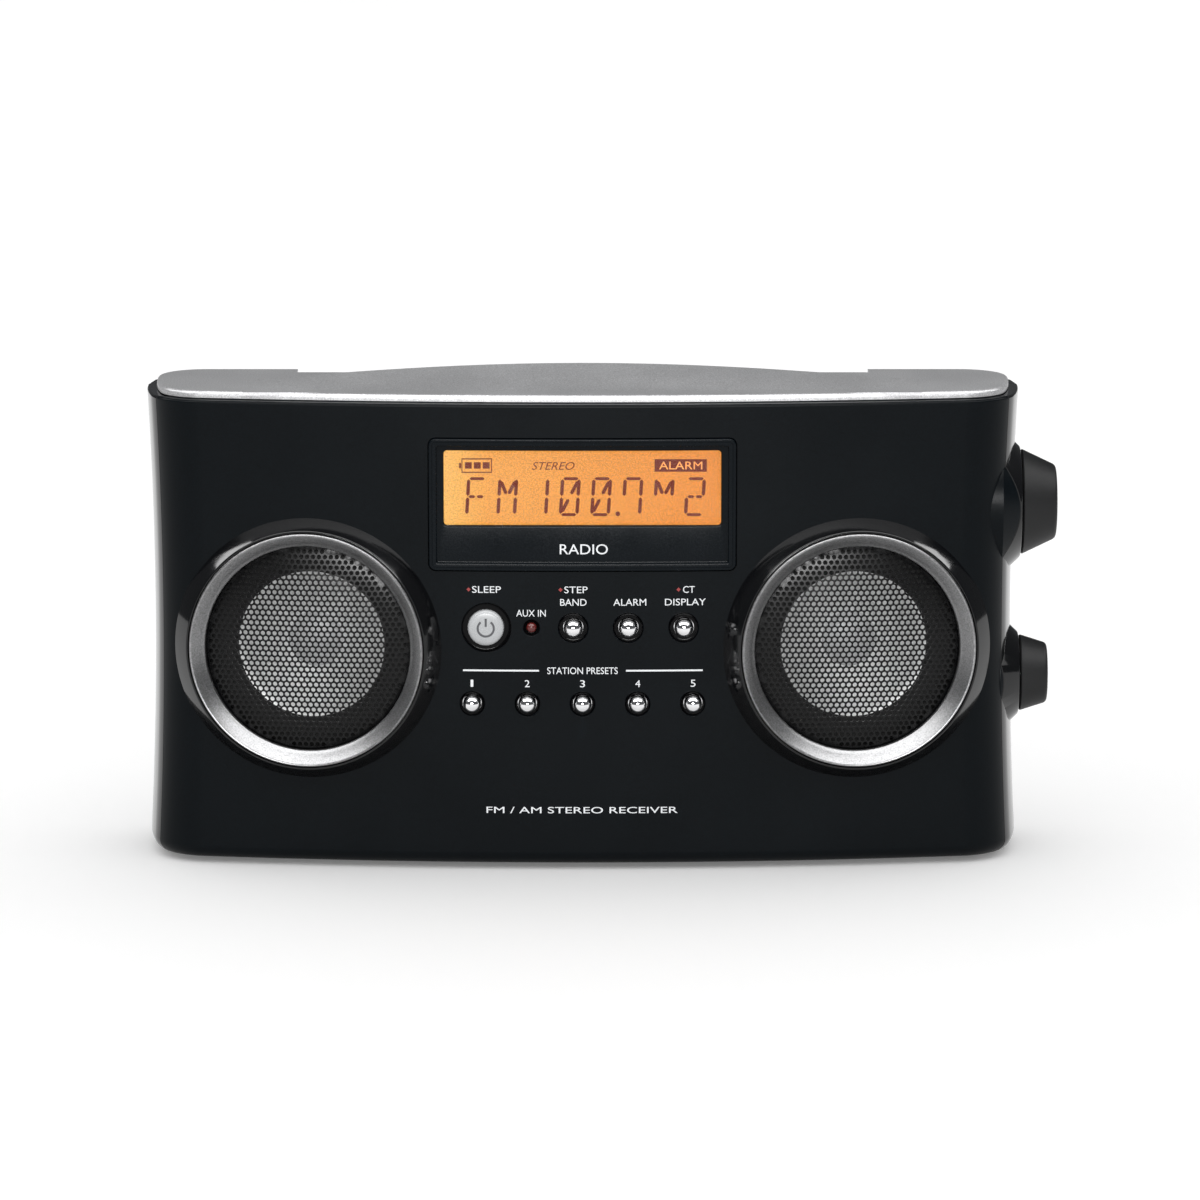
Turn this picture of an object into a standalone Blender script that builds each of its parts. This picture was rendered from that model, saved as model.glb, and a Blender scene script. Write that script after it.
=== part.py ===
"""A tabletop radio as an assembly of separate pieces.

Units are metres. The radio is laid out in its own frame: X to the right as seen from the front, Y from the
front to the back with 0 at the middle of the bowed front, Z up from the table. Every piece hangs on the empty
"radio", which is moved last so that the origin lies under the middle of the whole.
"""

import math

import bmesh
import bpy
from mathutils import Vector

MM = 0.001
CLEARANCE = 0.3 * MM  # gap between any two pieces that meet

# Cabinet
BODY_WIDTH = 259.0 * MM
WAIST_WIDTH = 254.4 * MM
BODY_DEPTH = 66.0 * MM
BODY_TOP = 138.0 * MM
FOOT_GAP = 1.5 * MM  # the cabinet's underside above the table
WAIST_LEVEL = 74.0 * MM
WALL = 2.5 * MM
BOW_RADIUS = 700.0 * MM
CORNER_RADIUS = 18.0 * MM
CORNER_TURN = 78.0  # degrees from the front at which the corner hands over to the side
SIDE_RADIUS = 100.0 * MM
REAR_RADIUS = 21.0 * MM
BOTTOM_ROUND = 4.0 * MM
TOP_ROUND = 0.8 * MM
FRONT_SEAM = 18.0 * MM
REAR_SEAM = BODY_DEPTH - 22.3 * MM

# Top plate with its arched grip, and the hand recess behind it
PLATE_INSET = 3.5 * MM
PLATE_RISE = 2.4 * MM
PLATE_EDGE = 1.3 * MM
PLATE_REAR = BODY_DEPTH - 8.0 * MM
ARCH_HALF_SPAN = BODY_WIDTH / 2 - 30.5 * MM
ARCH_RISE = 3.5 * MM
ARCH_FRONT = 9.0 * MM
RIDGE_TIP_DEPTH = BODY_DEPTH - 34.0 * MM
RIDGE_DEPTH = BODY_DEPTH - 21.0 * MM
RECESS_HALF_WIDTH = BODY_WIDTH / 2 - 44.5 * MM
RECESS_FLOOR = BODY_TOP - 33.0 * MM
RECESS_WALL = 2.3 * MM
LIP_OVERHANG = 4.0 * MM

# Speakers
SPEAKER_X = BODY_WIDTH / 2 - 49.2 * MM
SPEAKER_Z = 65.5 * MM
POD_HEIGHT = 4.6 * MM
RING_RADIUS = 34.6 * MM
RING_WIDTH = 4.3 * MM
RING_BORE = RING_RADIUS - RING_WIDTH
POD_TOP_RADIUS = RING_RADIUS + 0.7 * MM
POD_BASE_RADIUS = POD_TOP_RADIUS + 3.2 * MM
RING_DEPTH = 4.7 * MM
FUNNEL_DEPTH = 3.3 * MM
GRILLE_RADIUS = RING_BORE + 2.1 * MM
GRILLE_RISE = 3.0 * MM
GRILLE_THICKNESS = 0.8 * MM
BAFFLE_DEPTH = 10.0 * MM  # the speaker's seat behind the ring's front plane
SPEAKER_RADIUS = RING_RADIUS + 2.4 * MM
SEAT_BORDER = 1.2 * MM
CONE_RADIUS = 21.6 * MM
CONE_NECK = 8.0 * MM
CONE_CAP = 6.0 * MM
CONE_DEPTH = 9.0 * MM
CONE_SKIN = 0.7 * MM
CONE_BACK = 1.0 * MM  # the surround's rim behind the front of the frame
SURROUND_RADIUS = RING_BORE - 1.3 * MM
MAGNET_RADIUS = 18.0 * MM
MAGNET_LENGTH = 8.0 * MM
BASKET_LENGTH = 18.0 * MM
BASKET_SHEET = 1.5 * MM
BASKET_BORE = 10.0 * MM

# Display
DISPLAY_Z = BODY_TOP - 29.4 * MM
WINDOW_Z = DISPLAY_Z + 4.8 * MM
WINDOW_WIDTH = 80.7 * MM
WINDOW_HEIGHT = 22.0 * MM
BEZEL_WIDTH = WINDOW_WIDTH + 8.7 * MM
BEZEL_HEIGHT = WINDOW_HEIGHT + 16.8 * MM
BEZEL_PROUD = 0.7 * MM
BEZEL_RIM = 2.2 * MM
BEZEL_DEPTH = 4.7 * MM
BEZEL_RECESS = 1.2 * MM
WINDOW_THICKNESS = 1.2 * MM
LCD_WIDTH = WINDOW_WIDTH + 4.7 * MM
LCD_HEIGHT = WINDOW_HEIGHT + 5.4 * MM
LCD_THICKNESS = 2.2 * MM
BACKLIGHT_THICKNESS = 2.5 * MM
LEDGE_BORDER = 3.5 * MM

# Buttons on the front
UPPER_ROW_Z = 72.3 * MM
PRESET_ROW_Z = 49.7 * MM
PRESET_PITCH = 16.15 * MM
POWER_X = -28.2 * MM
INDICATOR_X = -14.9 * MM
FUNCTION_BUTTONS = {"band_button": -2.7 * MM, "alarm_button": 13.4 * MM, "display_button": 29.6 * MM}
FUNCTION_RADIUS = 2.75 * MM
FUNCTION_WELL = FUNCTION_RADIUS + 1.7 * MM
PRESET_RADIUS = 2.6 * MM
PRESET_WELL = PRESET_RADIUS + 1.1 * MM
PRESETS = 5
POWER_RADIUS = 5.25 * MM
POWER_WELL = POWER_RADIUS + 2.05 * MM
DOME_RISE = 3.2 * MM
POWER_RISE = 1.5 * MM
WELL_DEPTH = 0.9 * MM
BUTTON_TRAVEL = 0.8 * MM
FLANGE_WIDTH = 0.9 * MM
INDICATOR_RADIUS = 1.5 * MM
INDICATOR_WELL = 2.4 * MM

# Boards
BOARD_THICKNESS = 1.6 * MM
CONTROL_BOARD_Y = 12.0 * MM
CONTROL_BOARD_WIDTH = 80.0 * MM
CONTROL_BOARD_Z = (42.0 * MM, BODY_TOP - 12.0 * MM)
SWITCH_HEIGHT = 1.4 * MM
SWITCH_SIZE = 5.0 * MM
BOARD_POST_X = 36.0 * MM
BOARD_POST_LEVELS = (60.0 * MM, 84.0 * MM)
BOARD_POST_RADIUS = 2.2 * MM
BOARD_POST_START = 1.8 * MM  # inside the front wall
MAIN_BOARD_Y = 29.0 * MM
MAIN_BOARD_WIDTH = 104.0 * MM
MAIN_BOARD_Z = (20.0 * MM, 98.0 * MM)
BOARD_BLOCKS = {  # middle x and level, width, height and depth, in millimetres
    "tuner_can": (-26, 74, 30, 22, 6),
    "amplifier": (30, 40, 20, 8, 9),
    "processor": (2, 72, 12, 12, 1.6),
    "socket": (-34, 42, 14, 6, 5),
}
CAPACITOR_XS = (-8.0 * MM, 4.0 * MM, 16.0 * MM)
CAPACITOR_RADIUS = 4.0 * MM
CAPACITOR_LENGTH = 9.0 * MM
CAPACITOR_DROP = 12.0 * MM  # below the middle of the board
BOARD_PILLAR_X = MAIN_BOARD_WIDTH / 2 - 6.0 * MM
BOARD_PILLAR_SIZE = 6.0 * MM
SLOT_DEPTH = 4.0 * MM

# Knobs on the right side
KNOB_Y = 35.0 * MM
TUNING_Z = BODY_TOP - 34.0 * MM
VOLUME_Z = 52.5 * MM
BOSS_FACE_X = BODY_WIDTH / 2 - 0.2 * MM
TUNING_KNOB = {"base": 15.5 * MM, "face": 10.75 * MM, "length": 10.4 * MM}
VOLUME_KNOB = {"base": 11.25 * MM, "face": 8.75 * MM, "length": 8.3 * MM}
BOSS_RIM = 0.9 * MM
BOSS_SPREAD = 5.7 * MM  # how much wider a boss is at its foot
BOSS_LENGTH = 6.0 * MM
KNOB_ROUND = 1.5 * MM
SHAFT_RADIUS = 3.0 * MM
BUSHING_RADIUS = SHAFT_RADIUS + 1.5 * MM
CONTROL_SIZE = 14.0 * MM
CONTROL_LENGTH = 9.0 * MM
CONTROL_SETBACK = 2.4 * MM  # the body stands this far inside the curved wall, on its bushing

# Fastening, feet and sockets
SCREW_X = BODY_WIDTH / 2 - 17.5 * MM
SCREW_LEVELS = (14.0 * MM, BODY_TOP - 16.0 * MM)
SCREW_RADIUS = 1.6 * MM
SCREW_HEAD_RADIUS = 3.3 * MM
SCREW_HEAD_DEPTH = 2.0 * MM
SCREW_SINK = 4.0 * MM
SCREW_TIP_Y = 18.0 * MM
PILOT_START = 16.0 * MM
TUBE_RADIUS = 4.6 * MM
TUBE_START = 30.0 * MM
SCREW_BOSS_START = 12.0 * MM
FOOT_X = BODY_WIDTH / 2 - 29.5 * MM
FOOT_DEPTHS = (27.0 * MM, BODY_DEPTH - 12.0 * MM)
FOOT_RADIUS = 6.0 * MM
FOOT_SINK = 0.7 * MM
JACK_Z = 32.0 * MM
JACKS = {"dc_jack": (-98.0 * MM, 2.7 * MM), "headphone_jack": (-84.0 * MM, 1.8 * MM),
         "aux_in_jack": (-70.0 * MM, 1.8 * MM)}
JACK_SIZE = 10.0 * MM
JACK_LENGTH = 12.0 * MM
JACK_NOZZLE = 3.6 * MM

# Battery bay: two rows of two C cells, reached through a door in the back
CELL_RADIUS = 13.1 * MM
CELL_LENGTH = 50.0 * MM
CELL_GAP = 0.4 * MM
BAY_FLOOR = 7.0 * MM
BAY_WALL = 1.5 * MM
BAY_END_ROOM = 1.8 * MM
DOOR_THICKNESS = 2.2 * MM

# Aerials
ROD_RADIUS = 5.0 * MM
ROD_LENGTH = 200.0 * MM
ROD_Y = 26.0 * MM
ROD_Z = BODY_TOP - 12.0 * MM
CRADLE_X = 85.0 * MM
CRADLE_THICKNESS = 2.4 * MM
CRADLE_SIZE = 14.0 * MM
COIL_LENGTH = 36.0 * MM
COIL_CENTRE_X = -50.0 * MM
COIL_THICKNESS = 1.2 * MM
ANTENNA_X = RECESS_HALF_WIDTH - 13.0 * MM
ANTENNA_Y = BODY_DEPTH - 6.0 * MM
ANTENNA_Z = RECESS_FLOOR + 6.0 * MM
ANTENNA_RADII = (3.3 * MM, 2.5 * MM, 1.7 * MM, 0.9 * MM)
ANTENNA_WALL = 0.5 * MM
ANTENNA_START = 6.0 * MM
ANTENNA_LENGTH = 2 * RECESS_HALF_WIDTH - 34.0 * MM
ANTENNA_STEP = 1.5 * MM
ANTENNA_END_WALL = 3.0 * MM
KNUCKLE_RADIUS = 5.0 * MM
PRONG_THICKNESS = 2.5 * MM
TONGUE_THICKNESS = 3.2 * MM
TIP_RADIUS = 2.6 * MM
TIP_LENGTH = 4.5 * MM
PIVOT_PIN_RADIUS = 2.0 * MM
GROOVE_ROOM = 1.0 * MM  # around the tip, which slides out to the left through this groove
GROOVE_WALL = 2.0 * MM

LARGE_ROUND = 36  # sides of a speaker ring
ROUND = 24
SMALL_ROUND = 12

TO_FRONT = (math.pi / 2, 0.0, 0.0)  # turns local Z to -Y
TO_REAR = (-math.pi / 2, 0.0, 0.0)
TO_RIGHT = (0.0, math.pi / 2, 0.0)
TO_LEFT = (0.0, -math.pi / 2, 0.0)
UPRIGHT = (0.0, 0.0, 0.0)

FINISHES = {  # colour, roughness, metallic
    "black_gloss": ((0.010, 0.011, 0.012), 0.12, 0.0),
    "black_satin": ((0.013, 0.014, 0.016), 0.35, 0.0),
    "grey_satin": ((0.30, 0.30, 0.31), 0.35, 0.6),
    "silver": ((0.55, 0.55, 0.56), 0.3, 1.0),
    "chrome": ((0.75, 0.75, 0.75), 0.08, 1.0),
    "white_satin": ((0.80, 0.80, 0.80), 0.3, 0.0),
    "red_lens": ((0.20, 0.01, 0.01), 0.2, 0.0),
    "clear": ((0.60, 0.60, 0.58), 0.05, 0.0),
    "amber": ((0.90, 0.42, 0.10), 0.4, 0.0),
    "glass": ((0.55, 0.28, 0.10), 0.1, 0.0),
    "black_metal": ((0.02, 0.02, 0.02), 0.4, 0.8),
    "steel": ((0.42, 0.42, 0.44), 0.35, 1.0),
    "paper_cone": ((0.50, 0.50, 0.50), 0.5, 0.2),
    "ferrite": ((0.03, 0.03, 0.03), 0.5, 0.0),
    "copper": ((0.60, 0.25, 0.10), 0.35, 1.0),
    "board_green": ((0.03, 0.16, 0.06), 0.4, 0.0),
    "rubber": ((0.015, 0.015, 0.015), 0.8, 0.0),
    "black_matte": ((0.016, 0.016, 0.017), 0.6, 0.0),
    "cell_wrap": ((0.10, 0.12, 0.30), 0.35, 0.0),
}


# ---------------------------------------------------------------- building blocks
def clear_scene():
    for obj in list(bpy.data.objects):
        bpy.data.objects.remove(obj, do_unlink=True)


def make_material(name):
    colour, roughness, metallic = FINISHES[name]
    material = bpy.data.materials.new(name)
    material.use_nodes = True
    shader = material.node_tree.nodes["Principled BSDF"]
    shader.inputs["Base Color"].default_value = (*colour, 1.0)
    shader.inputs["Roughness"].default_value = roughness
    shader.inputs["Metallic"].default_value = metallic
    return material


def finish_mesh(bm, name):
    bmesh.ops.remove_doubles(bm, verts=bm.verts, dist=1e-7)
    bmesh.ops.recalc_face_normals(bm, faces=bm.faces)
    mesh = bpy.data.meshes.new(name)
    bm.to_mesh(mesh)
    bm.free()
    mesh.shade_smooth()
    mesh.set_sharp_from_angle(angle=math.radians(35))
    return mesh


def lathe(name, profile, segments=ROUND):
    """A closed (radius, height) profile turned about local Z."""
    bm = bmesh.new()
    rings = []
    for radius, height in profile:
        if radius < 1e-6:
            rings.append([bm.verts.new((0.0, 0.0, height))] * segments)
            continue
        turns = [2 * math.pi * i / segments for i in range(segments)]
        rings.append([bm.verts.new((radius * math.cos(t), radius * math.sin(t), height)) for t in turns])
    for ring, following in zip(rings, rings[1:] + rings[:1]):
        for i in range(segments):
            j = (i + 1) % segments
            corners = [ring[i], ring[j], following[j], following[i]]
            face = list(dict.fromkeys(corners))
            if len(face) > 2:
                bm.faces.new(face)
    return finish_mesh(bm, name)


def loft(name, rings):
    """A closed solid through rings of (x, y, z) points, each with the same number of points."""
    bm = bmesh.new()
    loops = [[bm.verts.new(point) for point in ring] for ring in rings]
    for loop, following in zip(loops, loops[1:]):
        for i in range(len(loop)):
            j = (i + 1) % len(loop)
            bm.faces.new((loop[i], loop[j], following[j], following[i]))
    bm.faces.new(loops[0])
    bm.faces.new(loops[-1])
    bmesh.ops.triangulate(bm, faces=bm.faces)
    return finish_mesh(bm, name)


def prism(name, outline, low, high):
    return loft(name, [[(x, y, z) for x, y in outline] for z in (low, high)])


def box(name, xs, ys, zs):
    return prism(name, [(xs[0], ys[0]), (xs[1], ys[0]), (xs[1], ys[1]), (xs[0], ys[1])], *zs)


def arc(centre, radius, start, end, steps):
    """Points of an arc, with its angles in degrees."""
    turns = [math.radians(start + (end - start) * i / steps) for i in range(steps + 1)]
    return [(centre[0] + radius * math.cos(t), centre[1] + radius * math.sin(t)) for t in turns]


def rounded_rectangle(width, height, radius):
    x, y = width / 2 - radius, height / 2 - radius
    corners = (((x, y), 0), ((-x, y), 90), ((-x, -y), 180), ((x, -y), 270))
    return [point for centre, start in corners for point in arc(centre, radius, start, start + 90, 2)]


class Assembly:
    """Makes the named pieces, and the hidden solids that are joined to them or cut from them."""

    def __init__(self):
        self.root = bpy.data.objects.new("radio", None)
        bpy.context.scene.collection.objects.link(self.root)
        self.materials = {name: make_material(name) for name in FINISHES}
        self.pieces = {}

    def place(self, name, mesh, location=(0, 0, 0), rotation=UPRIGHT, parent=None):
        obj = bpy.data.objects.new(name, mesh)
        bpy.context.scene.collection.objects.link(obj)
        obj.parent = parent or self.root
        obj.location = location
        obj.rotation_euler = rotation
        return obj

    def piece(self, name, mesh, finish, location=(0, 0, 0), rotation=UPRIGHT, parent=None):
        obj = self.place(name, mesh, location, rotation, parent)
        if not mesh.materials:
            mesh.materials.append(self.materials[finish])
        self.pieces[name] = obj
        return obj

    def helper(self, mesh, location=(0, 0, 0), rotation=UPRIGHT):
        obj = self.place("helper_" + mesh.name, mesh, location, rotation)
        obj.hide_render = True
        obj.display_type = "WIRE"
        return obj

    def group(self, name, helpers):
        collection = bpy.data.collections.new(name)
        bpy.context.scene.collection.children.link(collection)
        for obj in helpers:
            collection.objects.link(obj)
        return collection


def boolean(obj, operation, other):
    modifier = obj.modifiers.new(operation.lower(), "BOOLEAN")
    modifier.operation = operation
    modifier.solver = "EXACT"
    if isinstance(other, bpy.types.Collection):
        modifier.operand_type = "COLLECTION"
        modifier.collection = other
    else:
        modifier.object = other


# ---------------------------------------------------------------- cabinet surfaces
def half_width_at(level):
    """Half the cabinet's width: widest at the top and bottom, narrowest at the waist."""
    reach = max(WAIST_LEVEL, BODY_TOP - WAIST_LEVEL)
    share = ((level - WAIST_LEVEL) / reach) ** 2
    return (WAIST_WIDTH + (BODY_WIDTH - WAIST_WIDTH) * share) / 2


def plan(half_width, depth=BODY_DEPTH, inset=0.0):
    """The cabinet's outline seen from above: bowed front, round corners, slightly bulging sides, flat back."""
    turn = math.radians(CORNER_TURN)
    side_share = CORNER_RADIUS * math.sin(turn) + SIDE_RADIUS * (1 - math.sin(turn))
    bow = math.asin((half_width - side_share) / (BOW_RADIUS - CORNER_RADIUS))
    angle = math.degrees(bow)
    corner = ((BOW_RADIUS - CORNER_RADIUS) * math.sin(bow),
              BOW_RADIUS - (BOW_RADIUS - CORNER_RADIUS) * math.cos(bow))
    side = (corner[0] - (SIDE_RADIUS - CORNER_RADIUS) * math.sin(turn),
            corner[1] + (SIDE_RADIUS - CORNER_RADIUS) * math.cos(turn))
    rear_radius = min(REAR_RADIUS, depth - side[1] - 0.1 * MM)
    rear = (half_width - rear_radius, depth - rear_radius)
    right = arc((0.0, BOW_RADIUS), BOW_RADIUS - inset, -90, -90 + angle, 6)
    right += arc(corner, CORNER_RADIUS - inset, -90 + angle, -90 + CORNER_TURN, 5)[1:]
    right += arc(side, SIDE_RADIUS - inset, -90 + CORNER_TURN, 0, 2)[1:]
    right += arc(rear, rear_radius - inset, 0, 90, 5)
    return right + [(-x, y) for x, y in reversed(right[1:])]


def cabinet_solid(name, inset, low, high, low_round, high_round):
    """The cabinet's form, drawn in by an inset, between two levels and with rounded lower and upper edges."""
    rings = []
    for angle in (0, 45, 90):
        drawn_in = low_round * (1 - math.sin(math.radians(angle)))
        rings.append((low + low_round * (1 - math.cos(math.radians(angle))), inset + drawn_in))
    levels = 4
    for i in range(1, levels):
        rings.append((low + low_round + (high - high_round - low - low_round) * i / levels, inset))
    rings.append((high - high_round, inset))
    rings.append((high, inset + high_round))
    return loft(name, [[(x, y, z) for x, y in plan(half_width_at(z), inset=drawn)] for z, drawn in rings])


def bow_depth(x):
    """Depth of the bowed front at a distance from the middle."""
    return BOW_RADIUS - math.sqrt(BOW_RADIUS ** 2 - x ** 2)


def speaker_axis(side):
    """Centre of the ring's front plane, and the turn that faces it along the front's own normal."""
    tilt = math.asin(SPEAKER_X / BOW_RADIUS)
    x = SPEAKER_X + POD_HEIGHT * math.sin(tilt)
    y = bow_depth(SPEAKER_X) - POD_HEIGHT * math.cos(tilt)
    return (side * x, y, SPEAKER_Z), (math.pi / 2, 0.0, side * tilt)


def outer_form(radio):
    """The whole cabinet's outside, with speaker pods and knob bosses, which the shells are cut from."""
    form = radio.helper(cabinet_solid("form", 0.0, FOOT_GAP, BODY_TOP, BOTTOM_ROUND, TOP_ROUND))
    slope = (POD_BASE_RADIUS - POD_TOP_RADIUS) / POD_HEIGHT
    foot = POD_HEIGHT + 0.7 * WALL
    pod = lathe("pod", [(0, 0), (POD_TOP_RADIUS, 0), (POD_TOP_RADIUS + slope * foot, -foot), (0, -foot)],
                LARGE_ROUND)
    added = [radio.helper(pod, *speaker_axis(side)) for side in (-1, 1)]
    for name, knob, level in (("tuning", TUNING_KNOB, TUNING_Z), ("volume", VOLUME_KNOB, VOLUME_Z)):
        rim = knob["base"] + BOSS_RIM
        foot = rim + BOSS_SPREAD
        profile = [(0, 0), (rim, 0), (foot, -BOSS_LENGTH), (0, -BOSS_LENGTH)]
        added.append(radio.helper(lathe(name + "_boss", profile, ROUND), (BOSS_FACE_X, KNOB_Y, level), TO_RIGHT))
    boolean(form, "UNION", radio.group("form_added", added))
    return form


def speaker_well():
    """What is cut through the front for one speaker: ring pocket, grille pocket and sound opening."""
    pocket = RING_RADIUS + CLEARANCE
    ring_floor = -(RING_DEPTH + CLEARANCE)
    grille_floor = ring_floor - GRILLE_THICKNESS - 2 * CLEARANCE
    grille = GRILLE_RADIUS + CLEARANCE
    through = -(BAFFLE_DEPTH + 4 * MM)
    profile = [(0, 3 * MM), (pocket, 3 * MM), (pocket, ring_floor), (grille, ring_floor)]
    profile += [(grille, grille_floor), (RING_BORE, grille_floor), (RING_BORE, through), (0, through)]
    return lathe("speaker_well", profile, LARGE_ROUND)


def button_well(radius, well):
    """A dished well with a guide hole for one button."""
    hole = radius + CLEARANCE
    profile = [(0, 5 * MM), (well + 1 * MM, 5 * MM), (well, 0), (well - 0.4 * MM, -WELL_DEPTH)]
    profile += [(hole, -WELL_DEPTH), (hole, -3 * WALL), (0, -3 * WALL)]
    return lathe("button_well", profile, SMALL_ROUND)


def button_places():
    """Name, x, level, radius and well of each front button."""
    rows = [("power_button", POWER_X, UPPER_ROW_Z, POWER_RADIUS, POWER_WELL)]
    for name, x in FUNCTION_BUTTONS.items():
        rows.append((name, x, UPPER_ROW_Z, FUNCTION_RADIUS, FUNCTION_WELL))
    for i in range(PRESETS):
        x = (i - (PRESETS - 1) / 2) * PRESET_PITCH
        rows.append((f"preset_button_{i + 1}", x, PRESET_ROW_Z, PRESET_RADIUS, PRESET_WELL))
    return rows


# ---------------------------------------------------------------- shells
def cavity_form(radio, name):
    return radio.helper(cabinet_solid(name, WALL, FOOT_GAP + WALL, BODY_TOP - WALL, 1.5 * MM, TOP_ROUND))


def slab(name, front, rear):
    side = BODY_WIDTH
    return box(name, (-side, side), (front, rear), (-side, side))


def shell(radio, name, finish, depths, form, cavity, joined, cut):
    """One slice of the hollow cabinet, with what is joined to it and what is cut from it."""
    obj = radio.piece(name, slab(name, *depths), finish)
    boolean(obj, "INTERSECT", form)
    boolean(obj, "DIFFERENCE", cavity)
    boolean(obj, "UNION", radio.group(name + "_joined", joined))
    boolean(obj, "DIFFERENCE", radio.group(name + "_cut", cut))
    return obj


def cylinder(name, radius, low, high, segments=SMALL_ROUND):
    return lathe(name, [(0, low), (radius, low), (radius, high), (0, high)], segments)


def screw_places():
    return [(side * SCREW_X, level) for level in SCREW_LEVELS for side in (-1, 1)]


def board_post_places():
    return [(side * BOARD_POST_X, level) for level in BOARD_POST_LEVELS for side in (-1, 1)]


def front_panel(radio, form):
    joined, cut = [], []
    for side in (-1, 1):
        place, turn = speaker_axis(side)
        seat_radius = SPEAKER_RADIUS + SEAT_BORDER
        seat = cylinder("speaker_seat", seat_radius, -BAFFLE_DEPTH, -BAFFLE_DEPTH + 2 * WALL, ROUND)
        joined.append(radio.helper(seat, place, turn))
        cut.append(radio.helper(speaker_well(), place, turn))
    for x, level in screw_places():
        boss = cylinder("screw_boss", TUBE_RADIUS, 0, TUBE_START - CLEARANCE - SCREW_BOSS_START)
        joined.append(radio.helper(boss, (x, SCREW_BOSS_START, level), TO_REAR))
        pilot = cylinder("pilot", SCREW_RADIUS + CLEARANCE, 0, TUBE_START)
        cut.append(radio.helper(pilot, (x, PILOT_START, level), TO_REAR))
    for x, level in board_post_places():
        post = cylinder("board_post", BOARD_POST_RADIUS, 0, CONTROL_BOARD_Y - CLEARANCE - BOARD_POST_START, 8)
        joined.append(radio.helper(post, (x, BOARD_POST_START, level), TO_REAR))
    ledge = (BEZEL_WIDTH + 2 * LEDGE_BORDER, BEZEL_HEIGHT + 2 * LEDGE_BORDER)
    seat = BEZEL_DEPTH - BEZEL_PROUD + CLEARANCE
    joined.append(radio.helper(
        box("display_ledge", (-ledge[0] / 2, ledge[0] / 2), (1.9 * MM, seat + LCD_THICKNESS),
            (DISPLAY_Z - ledge[1] / 2, DISPLAY_Z + ledge[1] / 2))))
    pocket = rounded_rectangle(BEZEL_WIDTH + 2 * CLEARANCE, BEZEL_HEIGHT + 2 * CLEARANCE, 2.3 * MM)
    cut.append(radio.helper(prism("bezel_pocket", pocket, -seat, 9 * MM), (0, 0, DISPLAY_Z), TO_FRONT))
    lcd = rounded_rectangle(LCD_WIDTH + 2 * CLEARANCE, LCD_HEIGHT + 2 * CLEARANCE, 0.8 * MM)
    cut.append(radio.helper(prism("lcd_opening", lcd, -20 * MM, 0), (0, 0, WINDOW_Z), TO_FRONT))
    for _, x, level, radius, well in button_places():
        cut.append(radio.helper(button_well(radius, well), (x, bow_depth(x), level), TO_FRONT))
    indicator = button_well(INDICATOR_RADIUS, INDICATOR_WELL)
    cut.append(radio.helper(indicator, (INDICATOR_X, bow_depth(INDICATOR_X), UPPER_ROW_Z), TO_FRONT))
    depths = (-20 * MM, FRONT_SEAM - CLEARANCE / 2)
    shell(radio, "front_panel", "black_satin", depths, form, cavity_form(radio, "front_cavity"), joined, cut)


def middle_frame(radio, form):
    joined, cut = [], []
    top = BODY_TOP - WALL / 2
    for side in (-1, 1):
        x = side * CRADLE_X
        thick = CRADLE_THICKNESS / 2
        rib = box("cradle", (x - thick, x + thick), (ROD_Y - CRADLE_SIZE / 2, ROD_Y + CRADLE_SIZE / 2),
                  (ROD_Z - CRADLE_SIZE / 2, top))
        joined.append(radio.helper(rib))
        x = side * BOARD_PILLAR_X
        half = BOARD_PILLAR_SIZE / 2
        middle = MAIN_BOARD_Y + BOARD_THICKNESS / 2
        pillar = box("board_pillar", (x - half, x + half), (middle - half, middle + half),
                     (FOOT_GAP + WALL / 2, MAIN_BOARD_Z[0] + SLOT_DEPTH))
        joined.append(radio.helper(pillar))
        cut.append(foot_pocket(radio, side * FOOT_X, FOOT_DEPTHS[0]))
    reach = CRADLE_X + 2 * WALL
    rod = cylinder("rod_hole", ROD_RADIUS + CLEARANCE, -reach, reach)
    cut.append(radio.helper(rod, (0, ROD_Y, ROD_Z), TO_RIGHT))
    slot = (MAIN_BOARD_Y - CLEARANCE, MAIN_BOARD_Y + BOARD_THICKNESS + CLEARANCE)
    half = MAIN_BOARD_WIDTH / 2 + CLEARANCE
    cut.append(radio.helper(box("board_slot", (-half, half), slot, (MAIN_BOARD_Z[0] - CLEARANCE, top / 2))))
    for level in (TUNING_Z, VOLUME_Z):
        hole = cylinder("control_hole", BUSHING_RADIUS + CLEARANCE, -20 * MM, 20 * MM)
        cut.append(radio.helper(hole, (BOSS_FACE_X, KNOB_Y, level), TO_RIGHT))
    depths = (FRONT_SEAM + CLEARANCE / 2, REAR_SEAM - CLEARANCE / 2)
    shell(radio, "middle_frame", "black_gloss", depths, form, cavity_form(radio, "middle_cavity"), joined, cut)


def foot_pocket(radio, x, depth):
    top = FOOT_GAP + FOOT_SINK + CLEARANCE
    return radio.helper(cylinder("foot_pocket", FOOT_RADIUS + CLEARANCE, -WALL, top), (x, depth, 0))


def bay_size():
    """Half width, front depth, floor and ceiling of the space for the cells."""
    half = CELL_LENGTH + CELL_GAP + BAY_END_ROOM
    rear = BODY_DEPTH - DOOR_THICKNESS - 2 * CLEARANCE
    front = rear - 2 * CELL_RADIUS - CLEARANCE
    ceiling = BAY_FLOOR + 4 * CELL_RADIUS + 3 * CLEARANCE
    return half, front, BAY_FLOOR, ceiling


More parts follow.
